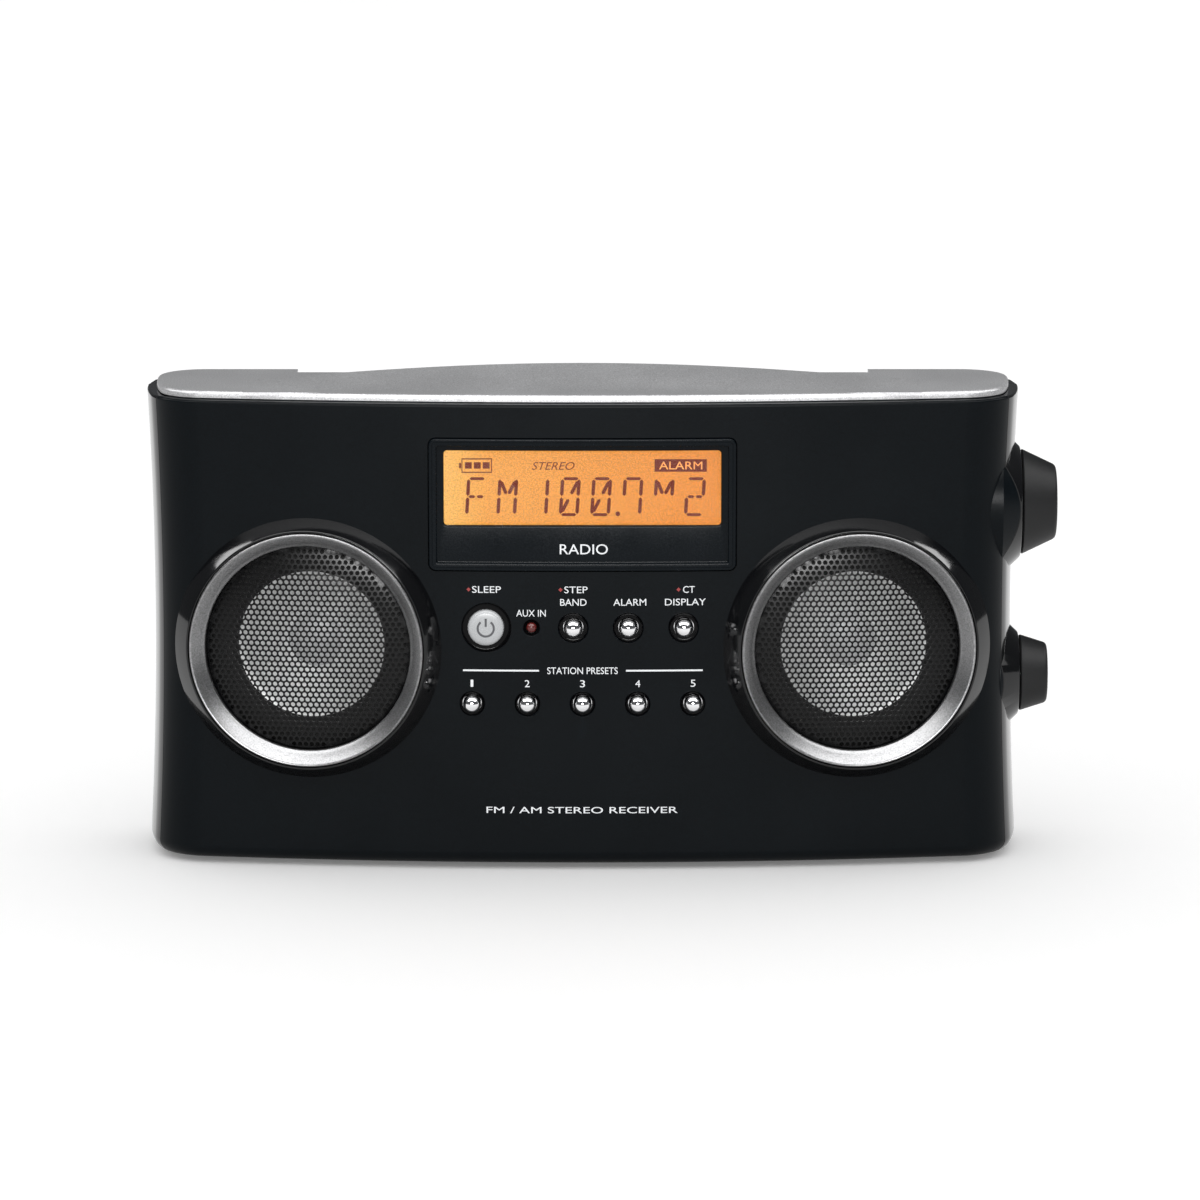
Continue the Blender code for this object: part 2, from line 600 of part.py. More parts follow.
def rear_cabinet(radio, form):
    joined, cut = [], []
    half, front, floor, ceiling = bay_size()
    wall = BAY_WALL
    joined.append(radio.helper(
        box("battery_bay", (-half - wall, half + wall), (front - wall, BODY_DEPTH - 1 * MM),
            (floor - wall - CLEARANCE, ceiling + wall))))
    cut.append(radio.helper(
        box("cell_space", (-half, half), (front, BODY_DEPTH + WALL), (floor, ceiling))))
    recess_front = REAR_SEAM + CLEARANCE / 2 + RECESS_WALL
    cut.append(radio.helper(
        box("hand_recess", (-RECESS_HALF_WIDTH, RECESS_HALF_WIDTH), (recess_front, 2 * BODY_DEPTH),
            (RECESS_FLOOR, 2 * BODY_TOP))))
    for x, level in screw_places():
        length = BODY_DEPTH - 2 * MM - TUBE_START
        tube = cylinder("screw_tube", TUBE_RADIUS, 0, length)
        joined.append(radio.helper(tube, (x, TUBE_START, level), TO_REAR))
        head = BODY_DEPTH - SCREW_SINK - SCREW_HEAD_DEPTH - CLEARANCE
        shank_hole, head_hole = SCREW_RADIUS + CLEARANCE, SCREW_HEAD_RADIUS + CLEARANCE
        profile = [(0, -60 * MM), (shank_hole, -60 * MM), (shank_hole, 0), (head_hole, 0),
                   (head_hole, 20 * MM), (0, 20 * MM)]
        cut.append(radio.helper(lathe("screw_hole", profile, SMALL_ROUND), (x, head, level), TO_REAR))
    for side in (-1, 1):
        cut.append(foot_pocket(radio, side * FOOT_X, FOOT_DEPTHS[1]))
    for x, _ in JACKS.values():
        hole = cylinder("jack_hole", JACK_NOZZLE + CLEARANCE, -2 * WALL, WALL)
        cut.append(radio.helper(hole, (x, BODY_DEPTH, JACK_Z), TO_REAR))
    pin = cylinder("pivot_hole", PIVOT_PIN_RADIUS + CLEARANCE, -10 * MM, 10 * MM)
    cut.append(radio.helper(pin, (ANTENNA_X, recess_front, ANTENNA_Z), TO_REAR))
    cut.append(radio.helper(groove_box("antenna_groove", 0.0)))
    side = RECESS_HALF_WIDTH + RECESS_WALL
    recess_block = box("recess_block", (-side, side), (0, 2 * BODY_DEPTH),
                       (RECESS_FLOOR - RECESS_WALL, 2 * BODY_TOP))
    cavity = cavity_form(radio, "rear_cavity")
    kept = [radio.helper(recess_block), radio.helper(groove_box("groove_block", GROOVE_WALL))]
    boolean(cavity, "DIFFERENCE", radio.group("rear_cavity_kept", kept))
    depths = (REAR_SEAM + CLEARANCE / 2, 2 * BODY_DEPTH)
    shell(radio, "rear_cabinet", "black_gloss", depths, form, cavity, joined, cut)


def groove_box(name, border):
    """The channel from the recess through the left side, in which the antenna slides out, or with its walls."""
    half = TIP_RADIUS + GROOVE_ROOM + border
    return box(name, (-BODY_WIDTH, WALL - RECESS_HALF_WIDTH), (ANTENNA_Y - half, 2 * BODY_DEPTH),
               (ANTENNA_Z - half, ANTENNA_Z + half))


def lens_share(x):
    """1 in the middle of the arch, falling to 0 at its tips."""
    return max(0.0, 1 - (x / ARCH_HALF_SPAN) ** 2)


def ridge_depth(x):
    return RIDGE_TIP_DEPTH + (RIDGE_DEPTH - RIDGE_TIP_DEPTH) * lens_share(x) ** 0.5


def arch_section(x, level):
    """The arch cut across at x: a gentle rise from the front to the ridge, then a steep rear face."""
    height = 0.05 * MM + ARCH_RISE * lens_share(x) ** 1.5
    ridge = ridge_depth(x)
    steps = 4
    points = [(x, ARCH_FRONT, level - 1 * MM)]
    for i in range(steps + 1):
        share = i / steps
        rise = share * share * (3 - 2 * share) if share < 0.5 else share
        points.append((x, ARCH_FRONT + (ridge - ARCH_FRONT) * share, level + height * rise))
    return points + [(x, ridge + 1 * MM, level - 1 * MM)]


def top_plate(radio):
    low = BODY_TOP + CLEARANCE
    high = BODY_TOP + PLATE_RISE
    rings = [(low, 0.0), (high - PLATE_EDGE, 0.0), (high - 0.35 * PLATE_EDGE, 0.25 * PLATE_EDGE),
             (high, PLATE_EDGE)]
    half = half_width_at(BODY_TOP)
    depth = PLATE_REAR + PLATE_INSET
    plate = loft("top_plate", [[(x, y, z) for x, y in plan(half, depth, PLATE_INSET + drawn)]
                               for z, drawn in rings])
    obj = radio.piece("top_plate", plate, "grey_satin")
    stations = [ARCH_HALF_SPAN * math.sin(math.pi * i / 20) for i in range(-10, 11)]
    arch = radio.helper(loft("arch", [arch_section(x, high) for x in stations]))
    boolean(obj, "UNION", arch)
    edge = REAR_SEAM + CLEARANCE / 2 + RECESS_WALL + LIP_OVERHANG
    half = RECESS_HALF_WIDTH
    notch = box("grip_notch", (-half, half), (edge, 2 * BODY_DEPTH), (BODY_TOP / 2, 2 * BODY_TOP))
    boolean(obj, "DIFFERENCE", radio.helper(notch))


def battery_door(radio):
    """A flat cover with a round lower edge on its hinge line and a finger dip near the top."""
    half, _, floor, ceiling = bay_size()
    radius = DOOR_THICKNESS / 2
    pivot = (0, BODY_DEPTH - radius, floor + CLEARANCE + radius)
    height = ceiling - CLEARANCE - pivot[2]
    outline = [(-radius, height)] + arc((0.0, 0.0), radius, 180, 360, 6) + [(radius, height)]
    width = half - CLEARANCE
    rings = [[(x, y, z) for y, z in outline] for x in (-width, width)]
    door = radio.piece("battery_door", loft("battery_door", rings), "black_satin", pivot)
    dip = lathe("finger_dip", [(0, 0), (7 * MM, 0), (8 * MM, 3 * MM), (0, 3 * MM)], 16)
    boolean(door, "DIFFERENCE", radio.helper(
        dip, (0, BODY_DEPTH - 0.45 * DOOR_THICKNESS, ceiling - 12 * MM), TO_REAR))


# ---------------------------------------------------------------- speakers
def speakers(radio):
    floor = -RING_DEPTH
    ring = [(RING_RADIUS, floor), (RING_RADIUS, -0.3 * MM), (RING_RADIUS - 0.4 * MM, 0.3 * MM),
            (RING_RADIUS - 0.9 * MM, 0.1 * MM), (RING_BORE + 1.2 * MM, -0.7 * FUNNEL_DEPTH),
            (RING_BORE, -FUNNEL_DEPTH), (RING_BORE, floor)]
    seat = floor - 2 * CLEARANCE
    rim = RING_BORE - 1.2 * MM
    dome = [(rim * math.cos(math.radians(a)), GRILLE_RISE * math.sin(math.radians(a))) for a in (0, 25, 50, 72)]
    grille = [(GRILLE_RADIUS, seat), (GRILLE_RADIUS, seat - GRILLE_THICKNESS)]
    grille += [(r - GRILLE_THICKNESS, seat - GRILLE_THICKNESS + h) for r, h in dome]
    grille += [(0, seat - GRILLE_THICKNESS + GRILLE_RISE), (0, seat + GRILLE_RISE)]
    grille += [(r, seat + h) for r, h in reversed(dome)]
    back = -(BAFFLE_DEPTH + CLEARANCE)
    hub = MAGNET_RADIUS - 2 * MM
    frame = [(SPEAKER_RADIUS, back), (SPEAKER_RADIUS, back - 2 * MM), (SURROUND_RADIUS + 4 * MM, back - 2 * MM),
             (hub + 3 * MM, back - BASKET_LENGTH + 1 * MM), (hub, back - BASKET_LENGTH),
             (BASKET_BORE, back - BASKET_LENGTH), (BASKET_BORE, back - BASKET_LENGTH + BASKET_SHEET),
             (hub, back - BASKET_LENGTH + BASKET_SHEET), (SURROUND_RADIUS + 2.3 * MM, back - 3.5 * MM),
             (SURROUND_RADIUS + 2.3 * MM, back)]
    cone_front = back - CONE_BACK
    outer = SURROUND_RADIUS + 2 * MM
    middle = (outer + CONE_RADIUS) / 2
    floor_of_cone = cone_front - CONE_DEPTH
    cone = [(outer, cone_front - 1 * MM), (outer, cone_front), (middle + 2 * MM, cone_front + 0.8 * MM),
            (middle - 1 * MM, cone_front + 0.8 * MM), (CONE_RADIUS, cone_front - 1 * MM),
            (CONE_NECK, floor_of_cone), (0.75 * CONE_CAP, floor_of_cone + 2 * MM), (0, floor_of_cone + 3 * MM),
            (0, floor_of_cone - CONE_SKIN), (CONE_NECK, floor_of_cone - 2 * CONE_SKIN),
            (CONE_RADIUS, cone_front - 1.9 * MM), (middle, cone_front - 1 * MM)]
    top = back - BASKET_LENGTH - CLEARANCE
    magnet = [(0, top), (MAGNET_RADIUS - 1 * MM, top), (MAGNET_RADIUS, top - 1 * MM),
              (MAGNET_RADIUS, top - MAGNET_LENGTH + 1 * MM), (MAGNET_RADIUS - 1 * MM, top - MAGNET_LENGTH),
              (0, top - MAGNET_LENGTH)]
    meshes = (("ring", lathe("speaker_ring", ring, LARGE_ROUND), "silver"),
              ("grille", lathe("speaker_grille", grille, ROUND), "black_metal"),
              ("frame", lathe("speaker_frame", frame, ROUND), "steel"),
              ("cone", lathe("speaker_cone", cone, 20), "paper_cone"),
              ("magnet", lathe("speaker_magnet", magnet, 20), "ferrite"))
    for side, word in ((-1, "left"), (1, "right")):
        place, turn = speaker_axis(side)
        for kind, mesh, finish in meshes:
            radio.piece(f"speaker_{kind}_{word}", mesh, finish, place, turn)


# ---------------------------------------------------------------- display
def bowed_block(name, half_width, height, behind, end):
    """A block whose one face follows the bowed front, a distance behind it; it reaches to a flat end."""
    steps = 10
    xs = [half_width * (2 * i / steps - 1) for i in range(steps + 1)]
    outline = [(x, bow_depth(x) + behind) for x in xs] + [(half_width, end), (-half_width, end)]
    return prism(name, outline, -height / 2, height / 2)


def display(radio):
    outer = rounded_rectangle(BEZEL_WIDTH, BEZEL_HEIGHT, 2.0 * MM)
    bezel = prism("display_bezel", outer, BEZEL_PROUD - BEZEL_DEPTH, 5 * MM)
    piece = radio.piece("display_bezel", bezel, "black_gloss", (0, 0, DISPLAY_Z), TO_FRONT)
    solid = bowed_block("bezel_front", BEZEL_WIDTH, BEZEL_HEIGHT + 2 * WALL, -BEZEL_PROUD, 20 * MM)
    boolean(piece, "INTERSECT", radio.helper(solid, (0, 0, DISPLAY_Z)))
    recess = bowed_block("bezel_recess", BEZEL_WIDTH / 2 - BEZEL_RIM, BEZEL_HEIGHT - 2 * BEZEL_RIM,
                         BEZEL_RECESS - BEZEL_PROUD, -20 * MM)
    window = rounded_rectangle(WINDOW_WIDTH, WINDOW_HEIGHT, 1.0 * MM)
    sight = prism("window_opening", window, -10 * MM, 5 * MM)
    pocket = rounded_rectangle(WINDOW_WIDTH + 3 * MM, WINDOW_HEIGHT + 3 * MM, 1.2 * MM)
    floor = BEZEL_PROUD - BEZEL_DEPTH
    seat = prism("window_seat", pocket, floor - 5 * MM, floor + WINDOW_THICKNESS + CLEARANCE)
    cuts = [radio.helper(recess, (0, 0, DISPLAY_Z)), radio.helper(sight, (0, 0, WINDOW_Z), TO_FRONT),
            radio.helper(seat, (0, 0, WINDOW_Z), TO_FRONT)]
    boolean(piece, "DIFFERENCE", radio.group("bezel_cut", cuts))
    pane = rounded_rectangle(WINDOW_WIDTH + 2.4 * MM, WINDOW_HEIGHT + 2.4 * MM, 1.0 * MM)
    radio.piece("display_window", prism("display_window", pane, floor, floor + WINDOW_THICKNESS), "clear",
                (0, 0, WINDOW_Z), TO_FRONT)
    lcd = rounded_rectangle(LCD_WIDTH, LCD_HEIGHT, 0.6 * MM)
    top = floor - CLEARANCE
    radio.piece("lcd_glass", prism("lcd_glass", lcd, top - LCD_THICKNESS, top), "glass",
                (0, 0, WINDOW_Z), TO_FRONT)
    top -= LCD_THICKNESS + CLEARANCE
    radio.piece("lcd_backlight", prism("lcd_backlight", lcd, top - BACKLIGHT_THICKNESS, top), "amber",
                (0, 0, WINDOW_Z), TO_FRONT)


# ---------------------------------------------------------------- buttons and boards
def switch_face():
    """Depth of the switches' faces: they stay clear of the button stems at full travel."""
    return CONTROL_BOARD_Y - SWITCH_HEIGHT


def button_profile(x, radius, rise, flat):
    """A button from its crown, domed or nearly flat, down to the end of its stem."""
    if flat:
        crown = [(0, rise), (radius - 0.8 * MM, rise - 0.1 * MM), (radius, rise - 0.7 * MM)]
    else:
        base = 0.8 * MM
        turns = [math.radians(a) for a in (90, 55, 25, 0)]
        crown = [(radius * math.cos(t), base + (rise - base) * math.sin(t)) for t in turns]
        crown[0] = (0, rise)
    inner = -(WALL + 2 * CLEARANCE)
    end = -(switch_face() - bow_depth(x) - BUTTON_TRAVEL - CLEARANCE)
    stem = min(radius - 0.6 * MM, 2.0 * MM)
    flange = radius + FLANGE_WIDTH
    return crown + [(radius, inner), (flange, inner), (flange, inner - 1 * MM), (stem, inner - 1 * MM),
                    (stem, end), (0, end)]


def buttons(radio):
    for name, x, level, radius, _ in button_places():
        power = name == "power_button"
        profile = button_profile(x, radius, POWER_RISE if power else DOME_RISE, power)
        mesh = lathe(name, profile, ROUND if power else SMALL_ROUND)
        finish = "white_satin" if power else "chrome"
        radio.piece(name, mesh, finish, (x, bow_depth(x), level), TO_FRONT)
    end = -(CONTROL_BOARD_Y - CLEARANCE - bow_depth(INDICATOR_X))
    lens = [(0, 0.2 * MM), (0.7 * INDICATOR_RADIUS, 0), (INDICATOR_RADIUS, -0.6 * MM), (INDICATOR_RADIUS, end),
            (0, end)]
    radio.piece("aux_indicator", lathe("aux_indicator", lens, SMALL_ROUND), "red_lens",
                (INDICATOR_X, bow_depth(INDICATOR_X), UPPER_ROW_Z), TO_FRONT)


def control_board(radio):
    """The board behind the buttons, with a push switch behind each stem."""
    half = CONTROL_BOARD_WIDTH / 2
    low, high = CONTROL_BOARD_Z
    board = box("control_board", (-half, half), (CONTROL_BOARD_Y, CONTROL_BOARD_Y + BOARD_THICKNESS), (low, high))
    obj = radio.piece("control_board", board, "board_green")
    switches = []
    size = SWITCH_SIZE / 2
    for _, x, level, _, _ in button_places():
        switch = box("switch", (x - size, x + size), (switch_face(), CONTROL_BOARD_Y + 0.3 * MM),
                     (level - size, level + size))
        switches.append(radio.helper(switch))
    boolean(obj, "UNION", radio.group("switches", switches))


def main_board(radio):
    """The receiver board on its pillars, with the tallest parts that stand on it."""
    half = MAIN_BOARD_WIDTH / 2
    rear = MAIN_BOARD_Y + BOARD_THICKNESS
    board = box("main_board", (-half, half), (MAIN_BOARD_Y, rear), MAIN_BOARD_Z)
    obj = radio.piece("main_board", board, "board_green")
    low, high = MAIN_BOARD_Z
    root = MAIN_BOARD_Y + BOARD_THICKNESS / 3  # where the parts are rooted in the board
    parts = []
    for name, (x, z, width, height, depth) in BOARD_BLOCKS.items():
        xs = ((x - width / 2) * MM, (x + width / 2) * MM)
        zs = ((z - height / 2) * MM, (z + height / 2) * MM)
        parts.append(radio.helper(box(name, xs, (MAIN_BOARD_Y - depth * MM, root), zs)))
    for x in CAPACITOR_XS:
        can = cylinder("capacitor", CAPACITOR_RADIUS, 0, CAPACITOR_LENGTH)
        parts.append(radio.helper(can, (x, root, (low + high) / 2 - CAPACITOR_DROP), TO_FRONT))
    boolean(obj, "UNION", radio.group("board_parts", parts))


# ---------------------------------------------------------------- knobs and their controls
def knobs(radio):
    sets = (("tuning", "tuning_encoder", TUNING_KNOB, TUNING_Z), ("volume", "volume_control", VOLUME_KNOB, VOLUME_Z))
    for word, control, knob, level in sets:
        length, face, base = knob["length"], knob["face"], knob["base"]
        bore = SHAFT_RADIUS + CLEARANCE
        start = BOSS_FACE_X + CLEARANCE
        slope = (base - face) / (length - KNOB_ROUND)
        edge = [(face - KNOB_ROUND * (1 - math.cos(t)), length - KNOB_ROUND * (1 - math.sin(t)))
                for t in (0.0, math.pi / 4, math.pi / 2)]
        profile = [(0, length - 0.4 * MM), (edge[2][0] - 0.8 * MM, length - 0.4 * MM)] + edge[::-1]
        profile += [(base, 0.6 * MM), (base - slope * 0.6 * MM, 0), (BUSHING_RADIUS + 1 * MM, 0)]
        profile += [(BUSHING_RADIUS + 1 * MM, 1.6 * MM), (bore, 1.6 * MM)]
        profile += [(bore, length - 2.5 * MM), (0, length - 2.5 * MM)]
        axis = (start, KNOB_Y, level)
        radio.piece(word + "_knob", lathe(word + "_knob", profile, ROUND), "black_matte", axis, TO_RIGHT)
        wall = half_width_at(level) - WALL - CONTROL_SETBACK
        tail = wall - CONTROL_LENGTH + 1.5 * MM
        shaft = [(0, tail - start), (SHAFT_RADIUS, tail - start), (SHAFT_RADIUS, length - 2.5 * MM - CLEARANCE),
                 (0, length - 2.5 * MM - CLEARANCE)]
        radio.piece(word + "_shaft", lathe(word + "_shaft", shaft, SMALL_ROUND), "steel", axis, TO_RIGHT)
        half = CONTROL_SIZE / 2
        body = box(control, (-half, half), (-half, half), (wall - CONTROL_LENGTH - start, wall - start))
        piece = radio.piece(control, body, "steel", axis, TO_RIGHT)
        bushing = cylinder(control + "_bushing", BUSHING_RADIUS, wall - start - 1 * MM, 1.2 * MM)
        boolean(piece, "UNION", radio.helper(bushing, axis, TO_RIGHT))
        hole = cylinder(control + "_bore", bore, tail - start - CLEARANCE, 20 * MM)
        boolean(piece, "DIFFERENCE", radio.helper(hole, axis, TO_RIGHT))


# ---------------------------------------------------------------- fastenings, feet, sockets and cells
def screws_and_feet(radio):
    head_seat = BODY_DEPTH - SCREW_SINK - SCREW_HEAD_DEPTH
    length = head_seat - SCREW_TIP_Y
    profile = [(0, -length), (SCREW_RADIUS, -length + 1 * MM), (SCREW_RADIUS, 0), (SCREW_HEAD_RADIUS, 0),
               (SCREW_HEAD_RADIUS, 0.6 * SCREW_HEAD_DEPTH), (0.6 * SCREW_HEAD_RADIUS, SCREW_HEAD_DEPTH),
               (0.3 * SCREW_HEAD_RADIUS, SCREW_HEAD_DEPTH), (0, 0.5 * SCREW_HEAD_DEPTH)]
    mesh = lathe("case_screw", profile, 8)
    for i, (x, level) in enumerate(screw_places()):
        radio.piece(f"case_screw_{i + 1}", mesh, "steel", (x, head_seat, level), TO_REAR)
    top = FOOT_GAP + FOOT_SINK
    foot = lathe("rubber_foot", [(0, 0), (FOOT_RADIUS - 0.5 * MM, 0), (FOOT_RADIUS, 0.5 * MM), (FOOT_RADIUS, top),
                                 (0, top)], SMALL_ROUND)
    spots = [(side * FOOT_X, depth) for depth in FOOT_DEPTHS for side in (-1, 1)]
    for i, (x, depth) in enumerate(spots):
        radio.piece(f"rubber_foot_{i + 1}", foot, "rubber", (x, depth, 0))


def jacks(radio):
    for name, (x, bore) in JACKS.items():
        half = JACK_SIZE / 2
        front = -(WALL + CLEARANCE)
        body = box(name, (-half, half), (-half, half), (front - JACK_LENGTH, front))
        axis = (x, BODY_DEPTH, JACK_Z)
        piece = radio.piece(name, body, "black_matte", axis, TO_REAR)
        nozzle = cylinder(name + "_nozzle", JACK_NOZZLE, front - 1 * MM, -0.2 * MM)
        boolean(piece, "UNION", radio.helper(nozzle, axis, TO_REAR))
        hole = cylinder(name + "_bore", bore, front - JACK_LENGTH + 2 * MM, 5 * MM)
        boolean(piece, "DIFFERENCE", radio.helper(hole, axis, TO_REAR))


def battery_cells(radio):
    _, front, floor, _ = bay_size()
    button = 2 * MM
    body = CELL_LENGTH - button
    half = CELL_LENGTH / 2
    profile = [(0, -half), (CELL_RADIUS, -half), (CELL_RADIUS, -half + body), (3 * MM, -half + body),
               (3 * MM, half), (0, half)]
    mesh = lathe("battery_cell", profile, 16)
    y = front + CLEARANCE + CELL_RADIUS
    for row in range(2):
        z = floor + CLEARANCE + CELL_RADIUS + row * (2 * CELL_RADIUS + CLEARANCE)
        for column in range(2):
            x = (column - 0.5) * (CELL_LENGTH + CELL_GAP)
            turn = TO_RIGHT if row == 0 else TO_LEFT
            radio.piece(f"battery_cell_{2 * row + column + 1}", mesh, "cell_wrap", (x, y, z), turn)


# ---------------------------------------------------------------- aerials
def ferrite_aerial(radio):
    half = ROD_LENGTH / 2
    rod = [(0, -half), (ROD_RADIUS - 0.6 * MM, -half), (ROD_RADIUS, -half + 0.6 * MM),
           (ROD_RADIUS, half - 0.6 * MM), (ROD_RADIUS - 0.6 * MM, half), (0, half)]
    radio.piece("ferrite_rod", lathe("ferrite_rod", rod, SMALL_ROUND), "ferrite", (0, ROD_Y, ROD_Z), TO_RIGHT)
    inner = ROD_RADIUS + CLEARANCE
    outer = inner + COIL_THICKNESS
    half = COIL_LENGTH / 2
    coil = lathe("ferrite_coil", [(inner, -half), (outer, -half), (outer, half), (inner, half)], SMALL_ROUND)
    radio.piece("ferrite_coil", coil, "copper", (COIL_CENTRE_X, ROD_Y, ROD_Z), TO_RIGHT)


def antenna_base(radio):
    """The swivel: a pin in the recess wall, a disc, and two prongs that hold the first tube's tongue."""
    wall = REAR_SEAM + CLEARANCE / 2 + RECESS_WALL
    pin = wall - RECESS_WALL + 0.3 * MM - ANTENNA_Y
    disc = wall + CLEARANCE - ANTENNA_Y
    floor = -(TONGUE_THICKNESS + CLEARANCE) - 1 * MM
    profile = [(0, pin), (PIVOT_PIN_RADIUS, pin), (PIVOT_PIN_RADIUS, disc), (KNUCKLE_RADIUS, disc),
               (KNUCKLE_RADIUS, floor), (0, floor)]
    place = (ANTENNA_X, ANTENNA_Y, ANTENNA_Z)
    base = radio.piece("antenna_base", lathe("antenna_base", profile, 16), "steel", place, TO_REAR)
    slot = TONGUE_THICKNESS / 2 + CLEARANCE
    reach = KNUCKLE_RADIUS * 0.76
    prongs = []
    for side in (-1, 1):
        near, far = side * slot, side * (slot + PRONG_THICKNESS)
        prong = box("prong", (-reach, reach), (min(near, far), max(near, far)), (floor - 0.4 * MM, 3.2 * MM))
        prongs.append(radio.helper(prong, place, TO_REAR))
    boolean(base, "UNION", radio.group("prongs", prongs))


def antenna_tubes(radio):
    """Four telescoping sections in line with local Z, which points to the left at rest."""
    place = (ANTENNA_X, ANTENNA_Y, ANTENNA_Z)
    start = ANTENNA_START
    for i, radius in enumerate(ANTENNA_RADII):
        name = f"antenna_tube_{i + 1}"
        low = start + i * (ANTENNA_END_WALL + CLEARANCE)
        high = start + ANTENNA_LENGTH + i * ANTENNA_STEP
        bore = radius - ANTENNA_WALL
        if i < len(ANTENNA_RADII) - 1:
            profile = [(0, low), (radius, low), (radius, high), (bore, high),
                       (bore, low + ANTENNA_END_WALL), (0, low + ANTENNA_END_WALL)]
        else:
            profile = [(0, low), (radius, low), (radius, high), (TIP_RADIUS, high), (TIP_RADIUS, high + TIP_LENGTH),
                       (0, high + TIP_LENGTH)]
        tube = radio.piece(name, lathe(name, profile, SMALL_ROUND), "chrome", place, TO_LEFT)
        if i == 0:
            width = TONGUE_THICKNESS * 0.9
            half = TONGUE_THICKNESS / 2
            outline = [(width, start + 1 * MM)] + [(x, -y) for x, y in arc((0, 0), width, 0, 180, 8)]
            outline += [(-width, start + 1 * MM)]
            tongue = loft("tongue", [[(x, y, z) for y, z in outline] for x in (-half, half)])
            boolean(tube, "UNION", radio.helper(tongue, place, TO_LEFT))


def stand_on_origin(radio):
    """Moves the radio so that the origin lies on the table under the middle of its bounding box."""
    bpy.context.view_layer.update()
    graph = bpy.context.evaluated_depsgraph_get()
    corners = []
    for obj in radio.pieces.values():
        evaluated = obj.evaluated_get(graph)
        corners += [evaluated.matrix_world @ Vector(corner) for corner in evaluated.bound_box]
    for axis in (0, 1):
        values = [corner[axis] for corner in corners]
        radio.root.location[axis] = -(min(values) + max(values)) / 2


def build():
    clear_scene()
    radio = Assembly()
    form = outer_form(radio)
    front_panel(radio, form)
    middle_frame(radio, form)
    rear_cabinet(radio, form)
    top_plate(radio)
    battery_door(radio)
    speakers(radio)
    display(radio)
    buttons(radio)
    control_board(radio)
    main_board(radio)
    knobs(radio)
    screws_and_feet(radio)
    jacks(radio)
    battery_cells(radio)
    ferrite_aerial(radio)
    antenna_base(radio)
    antenna_tubes(radio)
    stand_on_origin(radio)


build()
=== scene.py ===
"""A tabletop radio: the fine visible meshes, materials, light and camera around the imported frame.

Units are metres. Lengths are given in the radio's own layout: X to the right from the middle of the cabinet,
Y from the foremost line of the bowed front to the back, Z up from the table. HOME moves that layout into
the frame's coordinates.
"""

import math
import bmesh
import bpy
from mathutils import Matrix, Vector


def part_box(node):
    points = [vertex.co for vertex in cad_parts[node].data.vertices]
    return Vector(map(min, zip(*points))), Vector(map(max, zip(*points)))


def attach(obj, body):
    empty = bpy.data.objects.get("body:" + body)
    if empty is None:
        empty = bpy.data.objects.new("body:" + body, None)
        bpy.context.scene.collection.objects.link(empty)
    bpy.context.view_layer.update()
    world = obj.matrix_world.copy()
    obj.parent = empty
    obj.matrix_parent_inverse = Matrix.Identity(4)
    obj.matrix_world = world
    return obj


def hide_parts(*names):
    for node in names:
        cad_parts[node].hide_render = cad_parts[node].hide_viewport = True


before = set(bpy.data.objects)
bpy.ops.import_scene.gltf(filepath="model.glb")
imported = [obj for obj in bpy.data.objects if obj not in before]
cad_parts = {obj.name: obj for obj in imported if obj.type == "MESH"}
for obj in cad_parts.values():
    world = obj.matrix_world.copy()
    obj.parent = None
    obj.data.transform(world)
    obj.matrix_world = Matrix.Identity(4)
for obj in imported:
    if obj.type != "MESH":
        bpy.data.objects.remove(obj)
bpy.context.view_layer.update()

MM = 0.001
GAP = 0.3 * MM

# Cabinet, as in the frame
BODY_WIDTH = 259.0 * MM
WAIST_WIDTH = 254.4 * MM
BODY_DEPTH = 66.0 * MM
BODY_TOP = 138.0 * MM
FOOT_GAP = 1.5 * MM
WAIST_LEVEL = 74.0 * MM
WALL = 2.5 * MM
BOW_RADIUS = 700.0 * MM
CORNER_RADIUS = 18.0 * MM
CORNER_TURN = math.radians(78.0)
SIDE_RADIUS = 100.0 * MM
REAR_RADIUS = 21.0 * MM
BOTTOM_ROUND = 4.0 * MM
TOP_ROUND = 0.8 * MM
FRONT_SEAM = 18.0 * MM
REAR_SEAM = 43.7 * MM

# Where the layout's origin lies in the frame
LEFT_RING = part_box("speaker_ring_left")
RIGHT_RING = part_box("speaker_ring_right")
HOME = Vector(((LEFT_RING[0][0] + RIGHT_RING[1][0]) / 2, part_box("rear_cabinet")[1][1] - BODY_DEPTH, 0.0))

# Speaker pods and rings
SPEAKER_X = 80.3 * MM
SPEAKER_Z = 65.5 * MM
POD_HEIGHT = 4.6 * MM
POD_ROOT = 12.0 * MM
POD_TOP_RADIUS = 35.3 * MM
POD_BASE_RADIUS = 38.5 * MM
RING_RADIUS = 34.6 * MM
RING_BORE = 30.3 * MM
RING_DEPTH = 4.7 * MM

# Rows of buttons
UPPER_ROW_Z = 72.3 * MM
PRESET_ROW_Z = 49.7 * MM
PRESET_PITCH = 16.15 * MM
WELL_DEPTH = 0.9 * MM

# Knobs, their bosses, and the feet under the middle frame
KNOB_Y = 35.0 * MM
TUNING_Z = 104.0 * MM
VOLUME_Z = 52.5 * MM
BOSS_FACE_X = 129.3 * MM
BOSS_ROOT = 16.0 * MM
BOSS_FLARE = 5.7 * MM
TUNING_BASE = 15.5 * MM
VOLUME_BASE = 11.25 * MM
CONTROL_HOLE = 4.8 * MM
FOOT_X = 100.0 * MM
FRONT_FOOT_Y = 27.0 * MM

